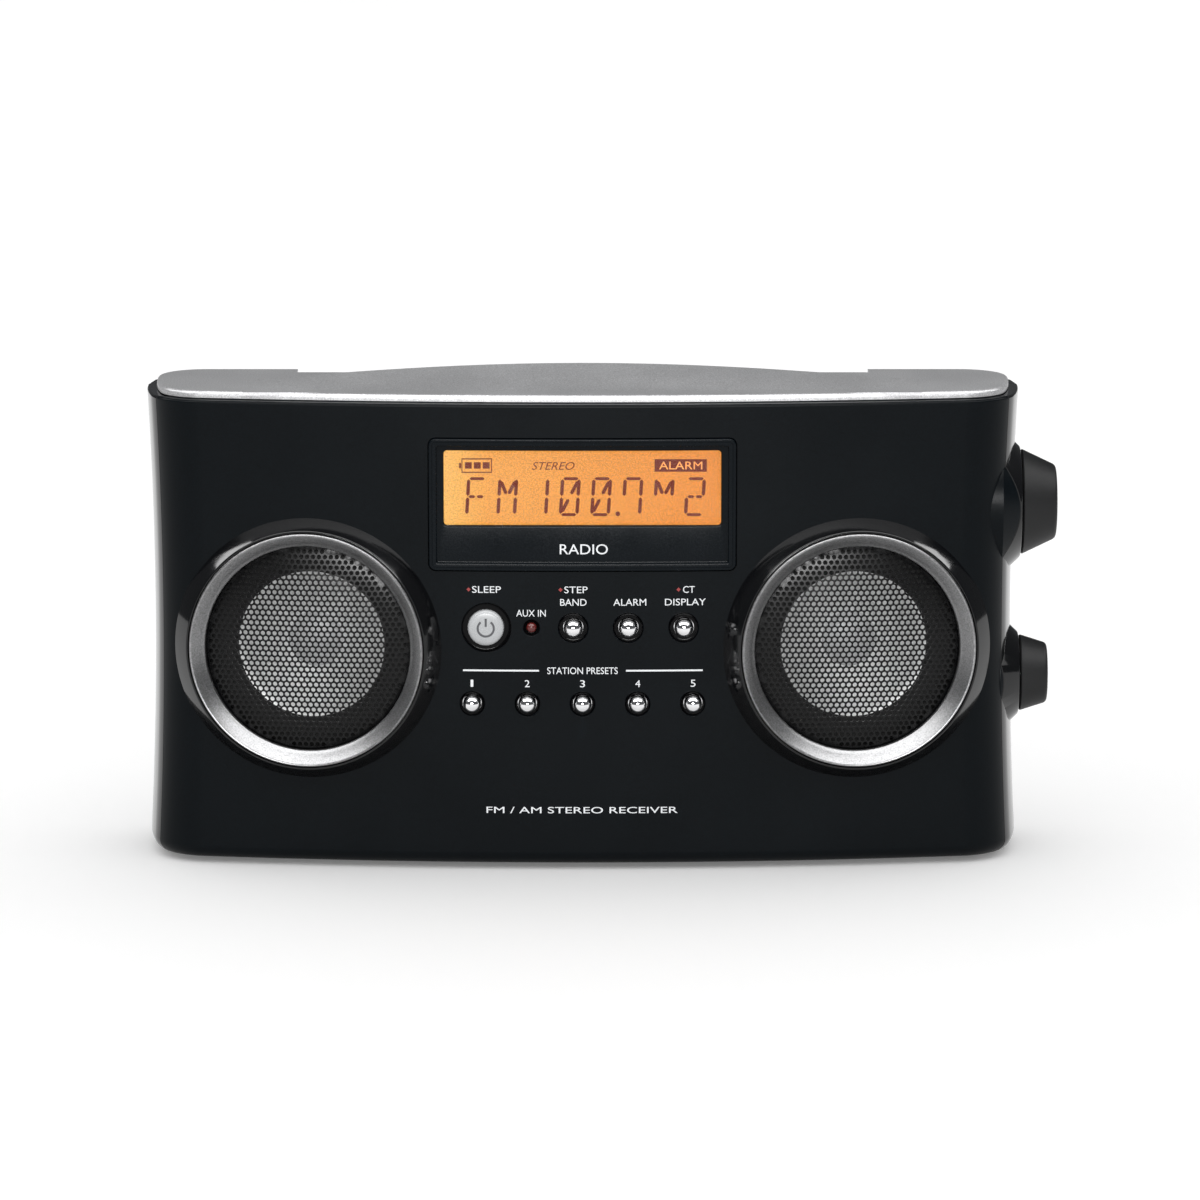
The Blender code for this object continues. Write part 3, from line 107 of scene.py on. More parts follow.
# Display: bezel, window and the lit panel behind it
WINDOW_WIDTH = 80.7 * MM
WINDOW_HEIGHT = 22.0 * MM
BEZEL_WIDTH = 89.4 * MM
BEZEL_HEIGHT = 38.8 * MM
BEZEL_Z = 108.6 * MM
WINDOW_Z = 113.4 * MM
BEZEL_PROUD = 0.7 * MM
BEZEL_RECESS = 1.2 * MM
BEZEL_BACK = 4.0 * MM
WINDOW_SEAT = 2.5 * MM
LCD_FRONT = 4.3 * MM

# Speakers: seat, grille and cone, with heights from the pod's face
SPEAKER_SEAT = 10.0 * MM
GRILLE_RADIUS = 32.4 * MM
GRILLE_THICKNESS = 0.8 * MM
DOME_RADIUS = 30.2 * MM
DOME_RISE = 3.0 * MM
HOLE_PITCH = 1.74 * MM
HOLE_RADIUS = 0.66 * MM
GRILLE_SEAT = -5.3 * MM
CONE_FRONT = -11.3 * MM

# Buttons
POWER_X = -28.2 * MM
INDICATOR_X = -14.9 * MM
INDICATOR_RADIUS = 1.5 * MM
INDICATOR_WELL = 2.4 * MM

# Top plate, with the arched grip and the notch for the hand
PLATE_LOW = 138.3 * MM
PLATE_HIGH = 140.4 * MM
PLATE_INSET = 3.5 * MM
PLATE_EDGE = 1.3 * MM
PLATE_DEPTH = 61.5 * MM
ARCH_HALF_SPAN = 99.0 * MM
ARCH_FRONT = 9.0 * MM
NOTCH_HALF_WIDTH = 85.0 * MM
NOTCH_FRONT = 50.15 * MM

# Turns that point a piece's own Z outwards
TO_FRONT = (math.pi / 2, 0.0, 0.0)
TO_RIGHT = (0.0, math.pi / 2, 0.0)


# ---------------------------------------------------------------- mesh tools
def to_mesh(bm, name, angle=30):
    bmesh.ops.remove_doubles(bm, verts=bm.verts, dist=1e-7)
    bmesh.ops.recalc_face_normals(bm, faces=bm.faces)
    mesh = bpy.data.meshes.new(name)
    bm.to_mesh(mesh)
    bm.free()
    smooth(mesh, angle)
    return mesh


def smooth(mesh, angle=30):
    mesh.shade_smooth()
    mesh.set_sharp_from_angle(angle=math.radians(angle))


def lathe(name, profile, segments=96, angle=30):
    """A closed (radius, height) profile turned about local Z."""
    bm = bmesh.new()
    turns = [2 * math.pi * i / segments for i in range(segments)]
    rings = []
    for radius, height in profile:
        if radius < 1e-7:
            rings.append([bm.verts.new((0.0, 0.0, height))] * segments)
        else:
            rings.append([bm.verts.new((radius * math.cos(t), radius * math.sin(t), height)) for t in turns])
    for ring, following in zip(rings, rings[1:] + rings[:1]):
        for i in range(segments):
            j = (i + 1) % segments
            face = list(dict.fromkeys((ring[i], ring[j], following[j], following[i])))
            if len(face) > 2:
                bm.faces.new(face)
    return to_mesh(bm, name, angle)


def disc(name, radius, low, high, segments=48):
    return lathe(name, [(0, low), (radius, low), (radius, high), (0, high)], segments)


def loft(name, rings, angle=30, hollow=False):
    """Outlines joined in turn: capped at both ends, or, where hollow, with the last joined to the first."""
    bm = bmesh.new()
    loops = [[bm.verts.new(point) for point in ring] for ring in rings]
    for loop, following in zip(loops, loops[1:] + (loops[:1] if hollow else [])):
        for i in range(len(loop)):
            j = (i + 1) % len(loop)
            bm.faces.new((loop[i], loop[j], following[j], following[i]))
    if not hollow:
        bm.faces.new(loops[0])
        bm.faces.new(loops[-1])
    return to_mesh(bm, name, angle)


def prism(name, outline, low, high, bevel=0.0):
    """An extruded outline, with chamfered or rounded rims where bevel is above 0."""
    if not bevel:
        return loft(name, [[(x, y, z) for x, y in outline] for z in (low, high)])
    rings = []
    for share, drawn in ((0.0, 1.0), (0.3, 0.3), (1.0, 0.0)):
        rings.append([(x, y, low + share * bevel) for x, y in shrink(outline, drawn * bevel)])
    for share, drawn in ((1.0, 0.0), (0.3, 0.3), (0.0, 1.0)):
        rings.append([(x, y, high - share * bevel) for x, y in shrink(outline, drawn * bevel)])
    return loft(name, rings, 15)


def shrink(outline, distance):
    """A convex outline moved inwards, each point along the bisector of its two sides."""
    moved = []
    count = len(outline)
    for i, point in enumerate(outline):
        before, here, after = Vector(outline[i - 1]), Vector(point), Vector(outline[(i + 1) % count])
        first, second = (here - before).normalized(), (after - here).normalized()
        normal = Vector((-(first.y + second.y), first.x + second.x)).normalized()
        reach = distance / max(0.3, normal.dot(Vector((-first.y, first.x))))
        moved.append(tuple(here + normal * reach))
    return moved


def box(name, xs, ys, zs):
    corners = [(xs[0], ys[0]), (xs[1], ys[0]), (xs[1], ys[1]), (xs[0], ys[1])]
    return prism(name, corners, *zs)


def arc(centre, radius, start, end, steps):
    """Points of an arc, with its angles in radians."""
    turns = [start + (end - start) * i / steps for i in range(steps + 1)]
    return [(centre[0] + radius * math.cos(t), centre[1] + radius * math.sin(t)) for t in turns]


def rounded_rectangle(width, height, radius, steps=6):
    x, y = width / 2 - radius, height / 2 - radius
    points = []
    for quarter, centre in enumerate(((x, y), (-x, y), (-x, -y), (x, -y))):
        start = quarter * math.pi / 2
        points += arc(centre, radius, start, start + math.pi / 2, steps)
    return points


def located(mesh, location, rotation=(0, 0, 0), name=None):
    """An object in the frame's coordinates, from a place in the radio's layout."""
    obj = bpy.data.objects.new(name or mesh.name, mesh)
    bpy.context.scene.collection.objects.link(obj)
    obj.location = HOME + Vector(location)
    obj.rotation_euler = rotation
    return obj


def piece(mesh, body, material, location=(0, 0, 0), rotation=(0, 0, 0), replaces=(), name=None):
    """A finished visible piece: placed, painted, riding on its body, and standing for its CAD nodes."""
    obj = located(mesh, location, rotation, name)
    if not mesh.materials:
        mesh.materials.append(material)
    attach(obj, body)
    if replaces:
        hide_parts(*replaces)
    return obj


def carved(base, steps):
    """The mesh of an object after Booleans with other meshes, each with a location and rotation or none."""
    helpers = []
    for operation, mesh, *place in steps:
        helper = located(mesh, *(place or [(0, 0, 0)]))
        helpers.append(helper)
        modifier = base.modifiers.new("cut", "BOOLEAN")
        modifier.operation = operation
        modifier.solver = "EXACT"
        modifier.object = helper
    bpy.context.view_layer.update()
    graph = bpy.context.evaluated_depsgraph_get()
    mesh = bpy.data.meshes.new_from_object(base.evaluated_get(graph))
    mesh.materials.clear()
    name = base.name
    for obj in [base] + helpers:
        bpy.data.objects.remove(obj, do_unlink=True)
    mesh.name = name
    return mesh


# ---------------------------------------------------------------- the cabinet's form
def half_width_at(level):
    reach = max(WAIST_LEVEL, BODY_TOP - WAIST_LEVEL)
    return (WAIST_WIDTH + (BODY_WIDTH - WAIST_WIDTH) * ((level - WAIST_LEVEL) / reach) ** 2) / 2


def bow_depth(x):
    return BOW_RADIUS - math.sqrt(BOW_RADIUS ** 2 - x ** 2)


def plan_arcs(half_width, depth=BODY_DEPTH):
    """Centre, radius, and first and last angle of each arc on the right half of the cabinet's outline."""
    turned = math.sin(CORNER_TURN)
    side_share = CORNER_RADIUS * turned + SIDE_RADIUS * (1 - turned)
    bow = math.asin((half_width - side_share) / (BOW_RADIUS - CORNER_RADIUS))
    corner = ((BOW_RADIUS - CORNER_RADIUS) * math.sin(bow),
              BOW_RADIUS - (BOW_RADIUS - CORNER_RADIUS) * math.cos(bow))
    side = (corner[0] - (SIDE_RADIUS - CORNER_RADIUS) * turned,
            corner[1] + (SIDE_RADIUS - CORNER_RADIUS) * math.cos(CORNER_TURN))
    rear_radius = min(REAR_RADIUS, depth - side[1] - 0.1 * MM)
    rear = (half_width - rear_radius, depth - rear_radius)
    front = -math.pi / 2
    return [((0.0, BOW_RADIUS), BOW_RADIUS, front, front + bow, 44),
            (corner, CORNER_RADIUS, front + bow, front + CORNER_TURN, 18),
            (side, SIDE_RADIUS, front + CORNER_TURN, 0.0, 8),
            (rear, rear_radius, 0.0, math.pi / 2, 18)]


def plan(half_width, depth=BODY_DEPTH, inset=0.0, thin=1):
    """The outline from above; thin divides the number of points where they don't show."""
    right = []
    for i, (centre, radius, start, end, steps) in enumerate(plan_arcs(half_width, depth)):
        points = arc(centre, radius - inset, start, end, max(2, steps // thin))
        right += points if i in (0, 3) else points[1:]
    return right + [(-x, y) for x, y in reversed(right[1:])]


def cabinet_loft(name, inset, low, high, low_round, high_round, thin=1):
    rings = []
    steps = 8 // thin
    for i in range(steps + 1):
        angle = math.pi / 2 * i / steps
        rings.append((low + low_round * (1 - math.cos(angle)), inset + low_round * (1 - math.sin(angle))))
    levels = 26 // thin
    for i in range(1, levels):
        rings.append((low + low_round + (high - high_round - low - low_round) * i / levels, inset))
    steps = 5
    for i in range(steps + 1):
        angle = math.pi / 2 * i / steps
        rings.append((high - high_round * (1 - math.sin(angle)), inset + high_round * (1 - math.cos(angle))))
    outlines = [(z, plan(half_width_at(z), inset=drawn, thin=thin)) for z, drawn in rings]
    return loft(name, [[(x, y, z) for x, y in outline] for z, outline in outlines])


def outward(x, y, z):
    """The true outward direction of the cabinet's smooth surface at a point of it."""
    half_width = half_width_at(z)
    side = 1 if x >= 0 else -1
    arcs = plan_arcs(half_width)
    direction = None
    for centre, _, start, end, _ in arcs:
        angle = math.atan2(y - centre[1], abs(x) - centre[0])
        if angle <= end + 1e-9:
            angle = max(angle, start)
            direction = Vector((side * math.cos(angle), math.sin(angle), 0.0))
            break
    if direction is None or (y > arcs[3][0][1] and abs(x) < arcs[3][0][0]):
        direction = Vector((0.0, 1.0, 0.0))
    slope = (half_width_at(z + 0.1 * MM) - half_width_at(z - 0.1 * MM)) / (0.2 * MM)
    direction.z = -slope * abs(direction.x)
    lower, upper = FOOT_GAP + BOTTOM_ROUND, BODY_TOP - TOP_ROUND
    if z < lower:
        lean = math.acos(max(-1.0, min(1.0, 1 - (z - FOOT_GAP) / BOTTOM_ROUND)))
        flat = direction.normalized() * math.sin(lean)
        direction = Vector((flat.x, flat.y, -math.cos(lean)))
    if z > upper:
        lean = math.asin(max(-1.0, min(1.0, (z - upper) / TOP_ROUND)))
        flat = direction.normalized() * math.cos(lean)
        direction = Vector((flat.x, flat.y, math.sin(lean)))
    return direction.normalized()


def true_shading(mesh):
    """Shades what lies on the cabinet's smooth surface by that surface, however the Booleans cut it up."""
    normals = [Vector(corner.vector) for corner in mesh.corner_normals]
    for face in mesh.polygons:
        centre = face.center
        if face.normal.dot(outward(centre.x, centre.y, centre.z)) < 0.985:
            continue
        for loop_index in face.loop_indices:
            point = mesh.vertices[mesh.loops[loop_index].vertex_index].co
            normals[loop_index] = outward(point.x, point.y, point.z)
    mesh.normals_split_custom_set(normals)


def speaker_place(side):
    tilt = math.asin(SPEAKER_X / BOW_RADIUS)
    x = SPEAKER_X + POD_HEIGHT * math.sin(tilt)
    y = bow_depth(SPEAKER_X) - POD_HEIGHT * math.cos(tilt)
    return (side * x, y, SPEAKER_Z), (math.pi / 2, 0.0, side * tilt)


def rolled(points, radius, steps=4):
    """A profile with the named corners rolled over: (radius, height, rolled) points."""
    result = []
    count = len(points)
    for i, (r, h, is_rolled) in enumerate(points):
        here = Vector((r, h))
        if not is_rolled:
            result.append((r, h))
            continue
        before = Vector(points[i - 1][:2])
        after = Vector(points[(i + 1) % count][:2])
        first = here + (before - here).normalized() * radius
        last = here + (after - here).normalized() * radius
        for k in range(steps + 1):
            t = k / steps
            point = first * (1 - t) ** 2 + here * 2 * t * (1 - t) + last * t ** 2
            result.append((point.x, point.y))
    return result


def pod_mesh():
    slope = (POD_BASE_RADIUS - POD_TOP_RADIUS) / POD_HEIGHT
    depth = POD_HEIGHT + 0.7 * WALL
    foot = POD_TOP_RADIUS + slope * depth
    points = [(0, 0, False), (POD_TOP_RADIUS, 0, True), (foot, -depth, False), (foot, -POD_ROOT, False),
              (0, -POD_ROOT, False)]
    return lathe("pod", rolled(points, 0.35 * MM), 128)


def boss_mesh(base):
    rim = base + 0.9 * MM
    foot = rim + BOSS_FLARE
    points = [(0, 0, False), (rim, 0, True), (foot, -6 * MM, False), (foot, -BOSS_ROOT, False),
              (0, -BOSS_ROOT, False)]
    return lathe("boss", rolled(points, 0.5 * MM), 96)


def form_steps():
    """The Booleans that give the bare loft its speaker pods and knob bosses."""
    steps = [("UNION", pod_mesh(), *speaker_place(side)) for side in (-1, 1)]
    steps.append(("UNION", boss_mesh(TUNING_BASE), (BOSS_FACE_X, KNOB_Y, TUNING_Z), TO_RIGHT))
    steps.append(("UNION", boss_mesh(VOLUME_BASE), (BOSS_FACE_X, KNOB_Y, VOLUME_Z), TO_RIGHT))
    return steps


def form_slice(name, front, rear, steps):
    """One shell: the cabinet's form between two depths, hollow, with more Booleans done to it."""
    base = located(cabinet_loft(name, 0.0, FOOT_GAP, BODY_TOP, BOTTOM_ROUND, TOP_ROUND), (0, 0, 0))
    far = 300 * MM
    ahead = box("ahead", (-far, far), (-far, front), (-far, far))
    behind = box("behind", (-far, far), (rear, far), (-far, far))
    cavity = cabinet_loft("cavity", WALL, FOOT_GAP + WALL, BODY_TOP - WALL, 1.5 * MM, TOP_ROUND, 4)
    cuts = [("DIFFERENCE", cavity)]
    cuts += [("DIFFERENCE", mesh) for mesh in (ahead, behind)]
    mesh = carved(base, form_steps() + cuts + steps)
    smooth(mesh)
    return mesh


# ---------------------------------------------------------------- materials
GRAIN_RANGE = (0.3, 0.7)
EDGE_RANGE = (0.53, 0.62)  # how pointed a corner is before it turns paler


def node(tree, kind, inputs=None, **settings):
    made = tree.nodes.new(kind)
    for key, value in settings.items():
        setattr(made, key, value)
    for key, value in (inputs or {}).items():
        if isinstance(value, bpy.types.NodeSocket):
            tree.links.new(value, made.inputs[key])
        else:
            made.inputs[key].default_value = value
    return made


def noise(tree, place, scale, detail=2.0):
    inputs = {"Vector": place, "Scale": scale, "Detail": detail}
    return node(tree, "ShaderNodeTexNoise", inputs).outputs["Fac"]


def mapped(tree, value, source, target):
    """A value carried from one range to another."""
    ranges = {"From Min": source[0], "From Max": source[1], "To Min": target[0], "To Max": target[1]}
    return node(tree, "ShaderNodeMapRange", {"Value": value, **ranges}).outputs["Result"]


def mixed(tree, share, first, second):
    inputs = {"Fac": share, "Color1": first, "Color2": second}
    return node(tree, "ShaderNodeMixRGB", inputs).outputs["Color"]


def scaled(colour, factor):
    return tuple(min(1.0, channel * factor) for channel in colour) + (1.0,)


def surface(name, colour, roughness, metallic=0.0, cloud=60.0, tint=0.12, grain=1500.0, speckle=0.06,
            spread=0.05, relief=0.003 * MM, edge_paling=0.25, edge_tone=2.5, **sockets):
    """A finish with cloudy and grainy colour, uneven gloss, fine relief and paler edges."""
    material = bpy.data.materials.new(name)
    material.use_nodes = True
    tree = material.node_tree
    shader = tree.nodes["Principled BSDF"]
    place = node(tree, "ShaderNodeTexCoord").outputs["Object"]
    clouds = noise(tree, place, cloud, 3.0)
    grains = noise(tree, place, grain)
    mottled = mixed(tree, clouds, scaled(colour, 1 - tint), scaled(colour, 1 + tint))
    lift = mapped(tree, grains, GRAIN_RANGE, (1 - speckle, 1 + speckle))
    speckled = node(tree, "ShaderNodeVectorMath", {0: mottled, "Scale": lift}, operation="SCALE").outputs[0]
    # Pointed edges and corners are mixed, in patches, towards a paler tone of the colour
    corners = node(tree, "ShaderNodeNewGeometry").outputs["Pointiness"]
    edge_share = mapped(tree, corners, EDGE_RANGE, (0.0, edge_paling))
    patchy = node(tree, "ShaderNodeMath", {0: edge_share, 1: clouds}, operation="MULTIPLY").outputs[0]
    finished = mixed(tree, patchy, speckled, scaled(colour, edge_tone))
    both = node(tree, "ShaderNodeMath", {0: clouds, 1: grains}, operation="ADD").outputs[0]
    gloss = mapped(tree, both, (0.7, 1.3), (max(0.01, roughness - spread), roughness + spread))
    bump = node(tree, "ShaderNodeBump", {"Height": grains, "Strength": 1.0, "Distance": relief})
    tree.links.new(finished, shader.inputs["Base Color"])
    tree.links.new(gloss, shader.inputs["Roughness"])
    tree.links.new(bump.outputs["Normal"], shader.inputs["Normal"])
    shader.inputs["Metallic"].default_value = metallic
    for key, value in sockets.items():
        shader.inputs[key.replace("_", " ")].default_value = value
    return material


def lcd_surface():
    """The lit display: paler amber at its left edge, deeper to the right, with the film's fine grain."""
    material = surface("lcd_amber", (0.12, 0.05, 0.012), 0.4, grain=3500.0, edge_paling=0.0)
    tree = material.node_tree
    shader = tree.nodes["Principled BSDF"]
    place = node(tree, "ShaderNodeTexCoord").outputs["Object"]
    across = node(tree, "ShaderNodeSeparateXYZ", {0: place}).outputs["X"]
    share = mapped(tree, across, (-WINDOW_WIDTH / 2, WINDOW_WIDTH / 2), (0.0, 1.0))
    ramp = node(tree, "ShaderNodeValToRGB", {"Fac": share})
    stops = ((0.0, (1.00, 0.52, 0.120)), (0.06, (0.94, 0.46, 0.085)), (0.16, (0.88, 0.36, 0.050)),
             (0.5, (0.86, 0.32, 0.035)), (0.85, (0.83, 0.27, 0.020)), (1.0, (0.80, 0.25, 0.015)))
    while len(ramp.color_ramp.elements) < len(stops):
        ramp.color_ramp.elements.new(0.5)
    for element, (position, colour) in zip(ramp.color_ramp.elements, stops):
        element.position = position
        element.color = (*colour, 1.0)
    grains = noise(tree, place, 2300.0, 3.0)
    lift = mapped(tree, grains, GRAIN_RANGE, (0.68, 1.32))
    glow = node(tree, "ShaderNodeVectorMath", {0: ramp.outputs["Color"], "Scale": lift}, operation="SCALE")
    tree.links.new(glow.outputs[0], shader.inputs["Emission Color"])
    shader.inputs["Emission Strength"].default_value = 0.85
    return material


def board_surface():
    """Solder mask with paler copper tracks showing through it."""
    material = surface("board_green", (0.03, 0.16, 0.06), 0.4, cloud=120.0, edge_paling=0.3)
    tree = material.node_tree
    shader = tree.nodes["Principled BSDF"]
    place = node(tree, "ShaderNodeTexCoord").outputs["Object"]
    tracks = node(tree, "ShaderNodeTexBrick", {"Vector": place, "Scale": 260.0, "Mortar Size": 0.02,
                                               "Color1": (0.02, 0.13, 0.05, 1),
                                               "Color2": (0.03, 0.17, 0.07, 1),
                                               "Mortar": (0.10, 0.30, 0.12, 1)}).outputs["Color"]
    tree.links.new(tracks, shader.inputs["Base Color"])
    return material


FINISH = {
    "panel": surface("panel_black", (0.0008, 0.0016, 0.0023), 0.33, cloud=25.0, tint=0.25, grain=2600.0,
        speckle=0.35, relief=0.004 * MM, edge_paling=0.2, edge_tone=6.0, Specular_IOR_Level=0.09),
    "case": surface("case_black", (0.0016, 0.0017, 0.0020), 0.09, cloud=30.0, tint=0.2, grain=1800.0,
        spread=0.03, relief=0.0004 * MM, edge_tone=5.0, Specular_IOR_Level=0.36),
    "well": surface("well_black", (0.0010, 0.0010, 0.0012), 0.16, grain=1800.0, relief=0.0006 * MM,
        edge_paling=0.1, Specular_IOR_Level=0.12),
    "plate": surface("plate_grey", (0.44, 0.44, 0.446), 0.42, 0.8, cloud=35.0, tint=0.05, grain=2600.0,
        speckle=0.30, relief=0.008 * MM, edge_paling=0.4, edge_tone=1.6),
    "bezel": surface("bezel_black", (0.0014, 0.0024, 0.0034), 0.22, cloud=40.0, tint=0.2, grain=2600.0,
        speckle=0.2, relief=0.0015 * MM, edge_tone=5.0, Specular_IOR_Level=0.10),
    "window": surface("window_clear", (0.98, 0.98, 0.97), 0.03, spread=0.02, tint=0.01, speckle=0.01,
        relief=0.0001 * MM, edge_paling=0.0, Transmission_Weight=1.0, IOR=1.16),
    "lcd": lcd_surface(),
    "segment": surface("lcd_segment", (0.012, 0.002, 0.001), 0.4, grain=3500.0, speckle=0.2, edge_paling=0.0,
        Emission_Color=(0.16, 0.014, 0.001, 1.0), Emission_Strength=1.0),
    "segment_light": surface("lcd_clear_letter", (0.50, 0.22, 0.06), 0.35, grain=3500.0, speckle=0.2,
        edge_paling=0.0, Emission_Color=(0.72, 0.25, 0.05, 1.0), Emission_Strength=0.9),
    "backlight": surface("backlight_amber", (0.90, 0.42, 0.10), 0.4, Emission_Color=(0.9, 0.42, 0.1, 1.0),
        Emission_Strength=0.6),
    "white": surface("button_white", (0.235, 0.24, 0.245), 0.28, cloud=200.0, tint=0.05, grain=4200.0,
        speckle=0.10, relief=0.004 * MM, edge_paling=0.1, edge_tone=1.2),
    "ink": surface("label_ink", (0.42, 0.43, 0.44), 0.55, grain=5000.0, speckle=0.12, edge_paling=0.0),
    "symbol": surface("symbol_ink", (0.035, 0.036, 0.04), 0.5, grain=5000.0, edge_paling=0.0),
    "red_ink": surface("red_ink", (0.17, 0.006, 0.005), 0.5, grain=5000.0, speckle=0.12, edge_paling=0.0),
    "chrome": surface("chrome", (0.84, 0.84, 0.85), 0.07, 1.0, cloud=90.0, tint=0.03, speckle=0.02,
        spread=0.02, relief=0.0002 * MM, edge_paling=0.1, edge_tone=1.1),
    "lens": surface("lens_red", (0.060, 0.006, 0.005), 0.34, grain=2400.0, speckle=0.25, edge_paling=0.0,
        Coat_Weight=0.3),
    "silver": surface("ring_silver", (0.25, 0.25, 0.253), 0.36, 1.0, cloud=50.0, tint=0.05, grain=2200.0,
        speckle=0.28, relief=0.016 * MM, edge_paling=0.4, edge_tone=1.5),
    "grille": surface("grille_black", (0.0015, 0.0015, 0.0017), 0.28, 0.0, cloud=60.0, grain=2600.0,
        relief=0.003 * MM, edge_paling=0.3, edge_tone=5.0, Specular_IOR_Level=0.22),
    "cone": surface("cone_silver", (0.95, 0.95, 0.95), 0.45, 0.6, cloud=90.0, tint=0.05, grain=1600.0,
        speckle=0.05, relief=0.01 * MM, edge_paling=0.0),
    # Dust cap painted a darker grey than the cone: painted shade for the darker middle of the speaker
    "cap": surface("dust_cap_painted_shade", (0.55, 0.55, 0.56), 0.45, 0.15, cloud=120.0, grain=1600.0, edge_paling=0.0),
    "knob": surface("knob_black", (0.0030, 0.0031, 0.0034), 0.52, cloud=50.0, tint=0.2, grain=1900.0,
        speckle=0.3, relief=0.012 * MM, edge_paling=0.35, edge_tone=3.0, Specular_IOR_Level=0.3),
    "door": surface("door_black", (0.010, 0.010, 0.011), 0.30, grain=1900.0, speckle=0.2, relief=0.006 *
        MM, edge_paling=0.35, edge_tone=3.0),
    "steel": surface("steel", (0.45, 0.45, 0.46), 0.30, 1.0, cloud=140.0, tint=0.12, grain=2200.0,
        relief=0.002 * MM, edge_paling=0.5, edge_tone=1.5),
    "ferrite": surface("ferrite", (0.030, 0.030, 0.031), 0.5, grain=1100.0, speckle=0.3, relief=0.01 *
        MM),
    "copper": surface("copper_wire", (0.62, 0.26, 0.11), 0.32, 1.0, grain=2600.0, relief=0.05 * MM,
        edge_tone=1.3),
    "board": board_surface(),
    "rubber": surface("rubber", (0.012, 0.012, 0.012), 0.8, grain=1300.0, speckle=0.3, relief=0.02 * MM),
    "wrap": surface("cell_wrap", (0.08, 0.10, 0.26), 0.33, cloud=30.0, tint=0.3, edge_paling=0.6, edge_tone=3.0),
    "socket": surface("socket_black", (0.009, 0.009, 0.010), 0.4, grain=1500.0, speckle=0.2, edge_paling=0.4,
        edge_tone=4.0),
}


# ---------------------------------------------------------------- shells
FUNCTION_XS = {"band_button": -2.7 * MM, "alarm_button": 13.4 * MM, "display_button": 29.6 * MM}
BUTTONS = {"power_button": (POWER_X, UPPER_ROW_Z, 5.25 * MM, 7.3 * MM)}  # x, level, radius, well
for button_name, button_x in FUNCTION_XS.items():
    BUTTONS[button_name] = (button_x, UPPER_ROW_Z, 2.75 * MM, 4.45 * MM)
for place_in_row in range(5):
    BUTTONS[f"preset_button_{place_in_row + 1}"] = (
        (place_in_row - 2) * PRESET_PITCH, PRESET_ROW_Z, 2.6 * MM, 3.7 * MM)


def speaker_well():
    pocket, grille = RING_RADIUS + GAP, GRILLE_RADIUS + GAP
    ring_floor = -(RING_DEPTH + GAP)
    grille_floor = ring_floor - GRILLE_THICKNESS - 2 * GAP
    through = -(SPEAKER_SEAT + 4 * MM)
    profile = [(0, 3 * MM), (pocket, 3 * MM), (pocket, ring_floor), (grille, ring_floor),
               (grille, grille_floor), (RING_BORE, grille_floor), (RING_BORE, through), (0, through)]
    return lathe("speaker_well", profile, 192)


def button_well(radius, well):
    """A dished well with a rolled lip, and the hole that guides the button."""
    hole = radius + 0.2 * MM
    profile = [(0, 5 * MM), (well + 0.25 * MM, 5 * MM), (well + 0.25 * MM, 0.03 * MM),
               (well + 0.08 * MM, -0.06 * MM), (well - 0.06 * MM, -0.22 * MM), (well - 0.2 * MM, -0.5 * MM),
               (well - 0.45 * MM, -0.78 * MM), (well - 0.8 * MM, -WELL_DEPTH), (hole, -WELL_DEPTH),
               (hole, -3 * WALL), (0, -3 * WALL)]
    return lathe("button_well", profile, 64, 45)


def front_shell():
    steps = []
    for side in (-1, 1):
        place, turn = speaker_place(side)
        seat = disc("seat", 38.2 * MM, -SPEAKER_SEAT, -5 * MM, 96)
        steps.append(("UNION", seat, place, turn))
        steps.append(("DIFFERENCE", speaker_well(), place, turn))
    ledge = (BEZEL_WIDTH / 2 + 3.5 * MM, BEZEL_HEIGHT / 2 + 3.5 * MM)
    steps.append(("UNION", box("ledge", (-ledge[0], ledge[0]), (1.9 * MM, 6.5 * MM),
                               (BEZEL_Z - ledge[1], BEZEL_Z + ledge[1]))))
    pocket = rounded_rectangle(BEZEL_WIDTH + 2 * GAP, BEZEL_HEIGHT + 2 * GAP, 2.3 * MM)
    steps.append(("DIFFERENCE", prism("pocket", pocket, -4.3 * MM, 9 * MM), (0, 0, BEZEL_Z), TO_FRONT))
    lcd = rounded_rectangle(86.0 * MM, 28.0 * MM, 0.8 * MM)
    steps.append(("DIFFERENCE", prism("lcd_opening", lcd, -20 * MM, 0), (0, 0, WINDOW_Z), TO_FRONT))
    for x, level, radius, well in BUTTONS.values():
        steps.append(("DIFFERENCE", button_well(radius, well), (x, bow_depth(x), level), TO_FRONT))
    steps.append(("DIFFERENCE", button_well(INDICATOR_RADIUS, INDICATOR_WELL),
                  (INDICATOR_X, bow_depth(INDICATOR_X), UPPER_ROW_Z), TO_FRONT))
    mesh = form_slice("front_shell", -20 * MM, FRONT_SEAM - GAP / 2, steps)
    true_shading(mesh)
    mesh.materials.append(FINISH["panel"])
    mesh.materials.append(FINISH["case"])
    mesh.materials.append(FINISH["well"])
    for face in mesh.polygons:
        face.material_index = front_finish(face.center)
    piece(mesh, "cabinet", FINISH["panel"], replaces=["front_panel"])


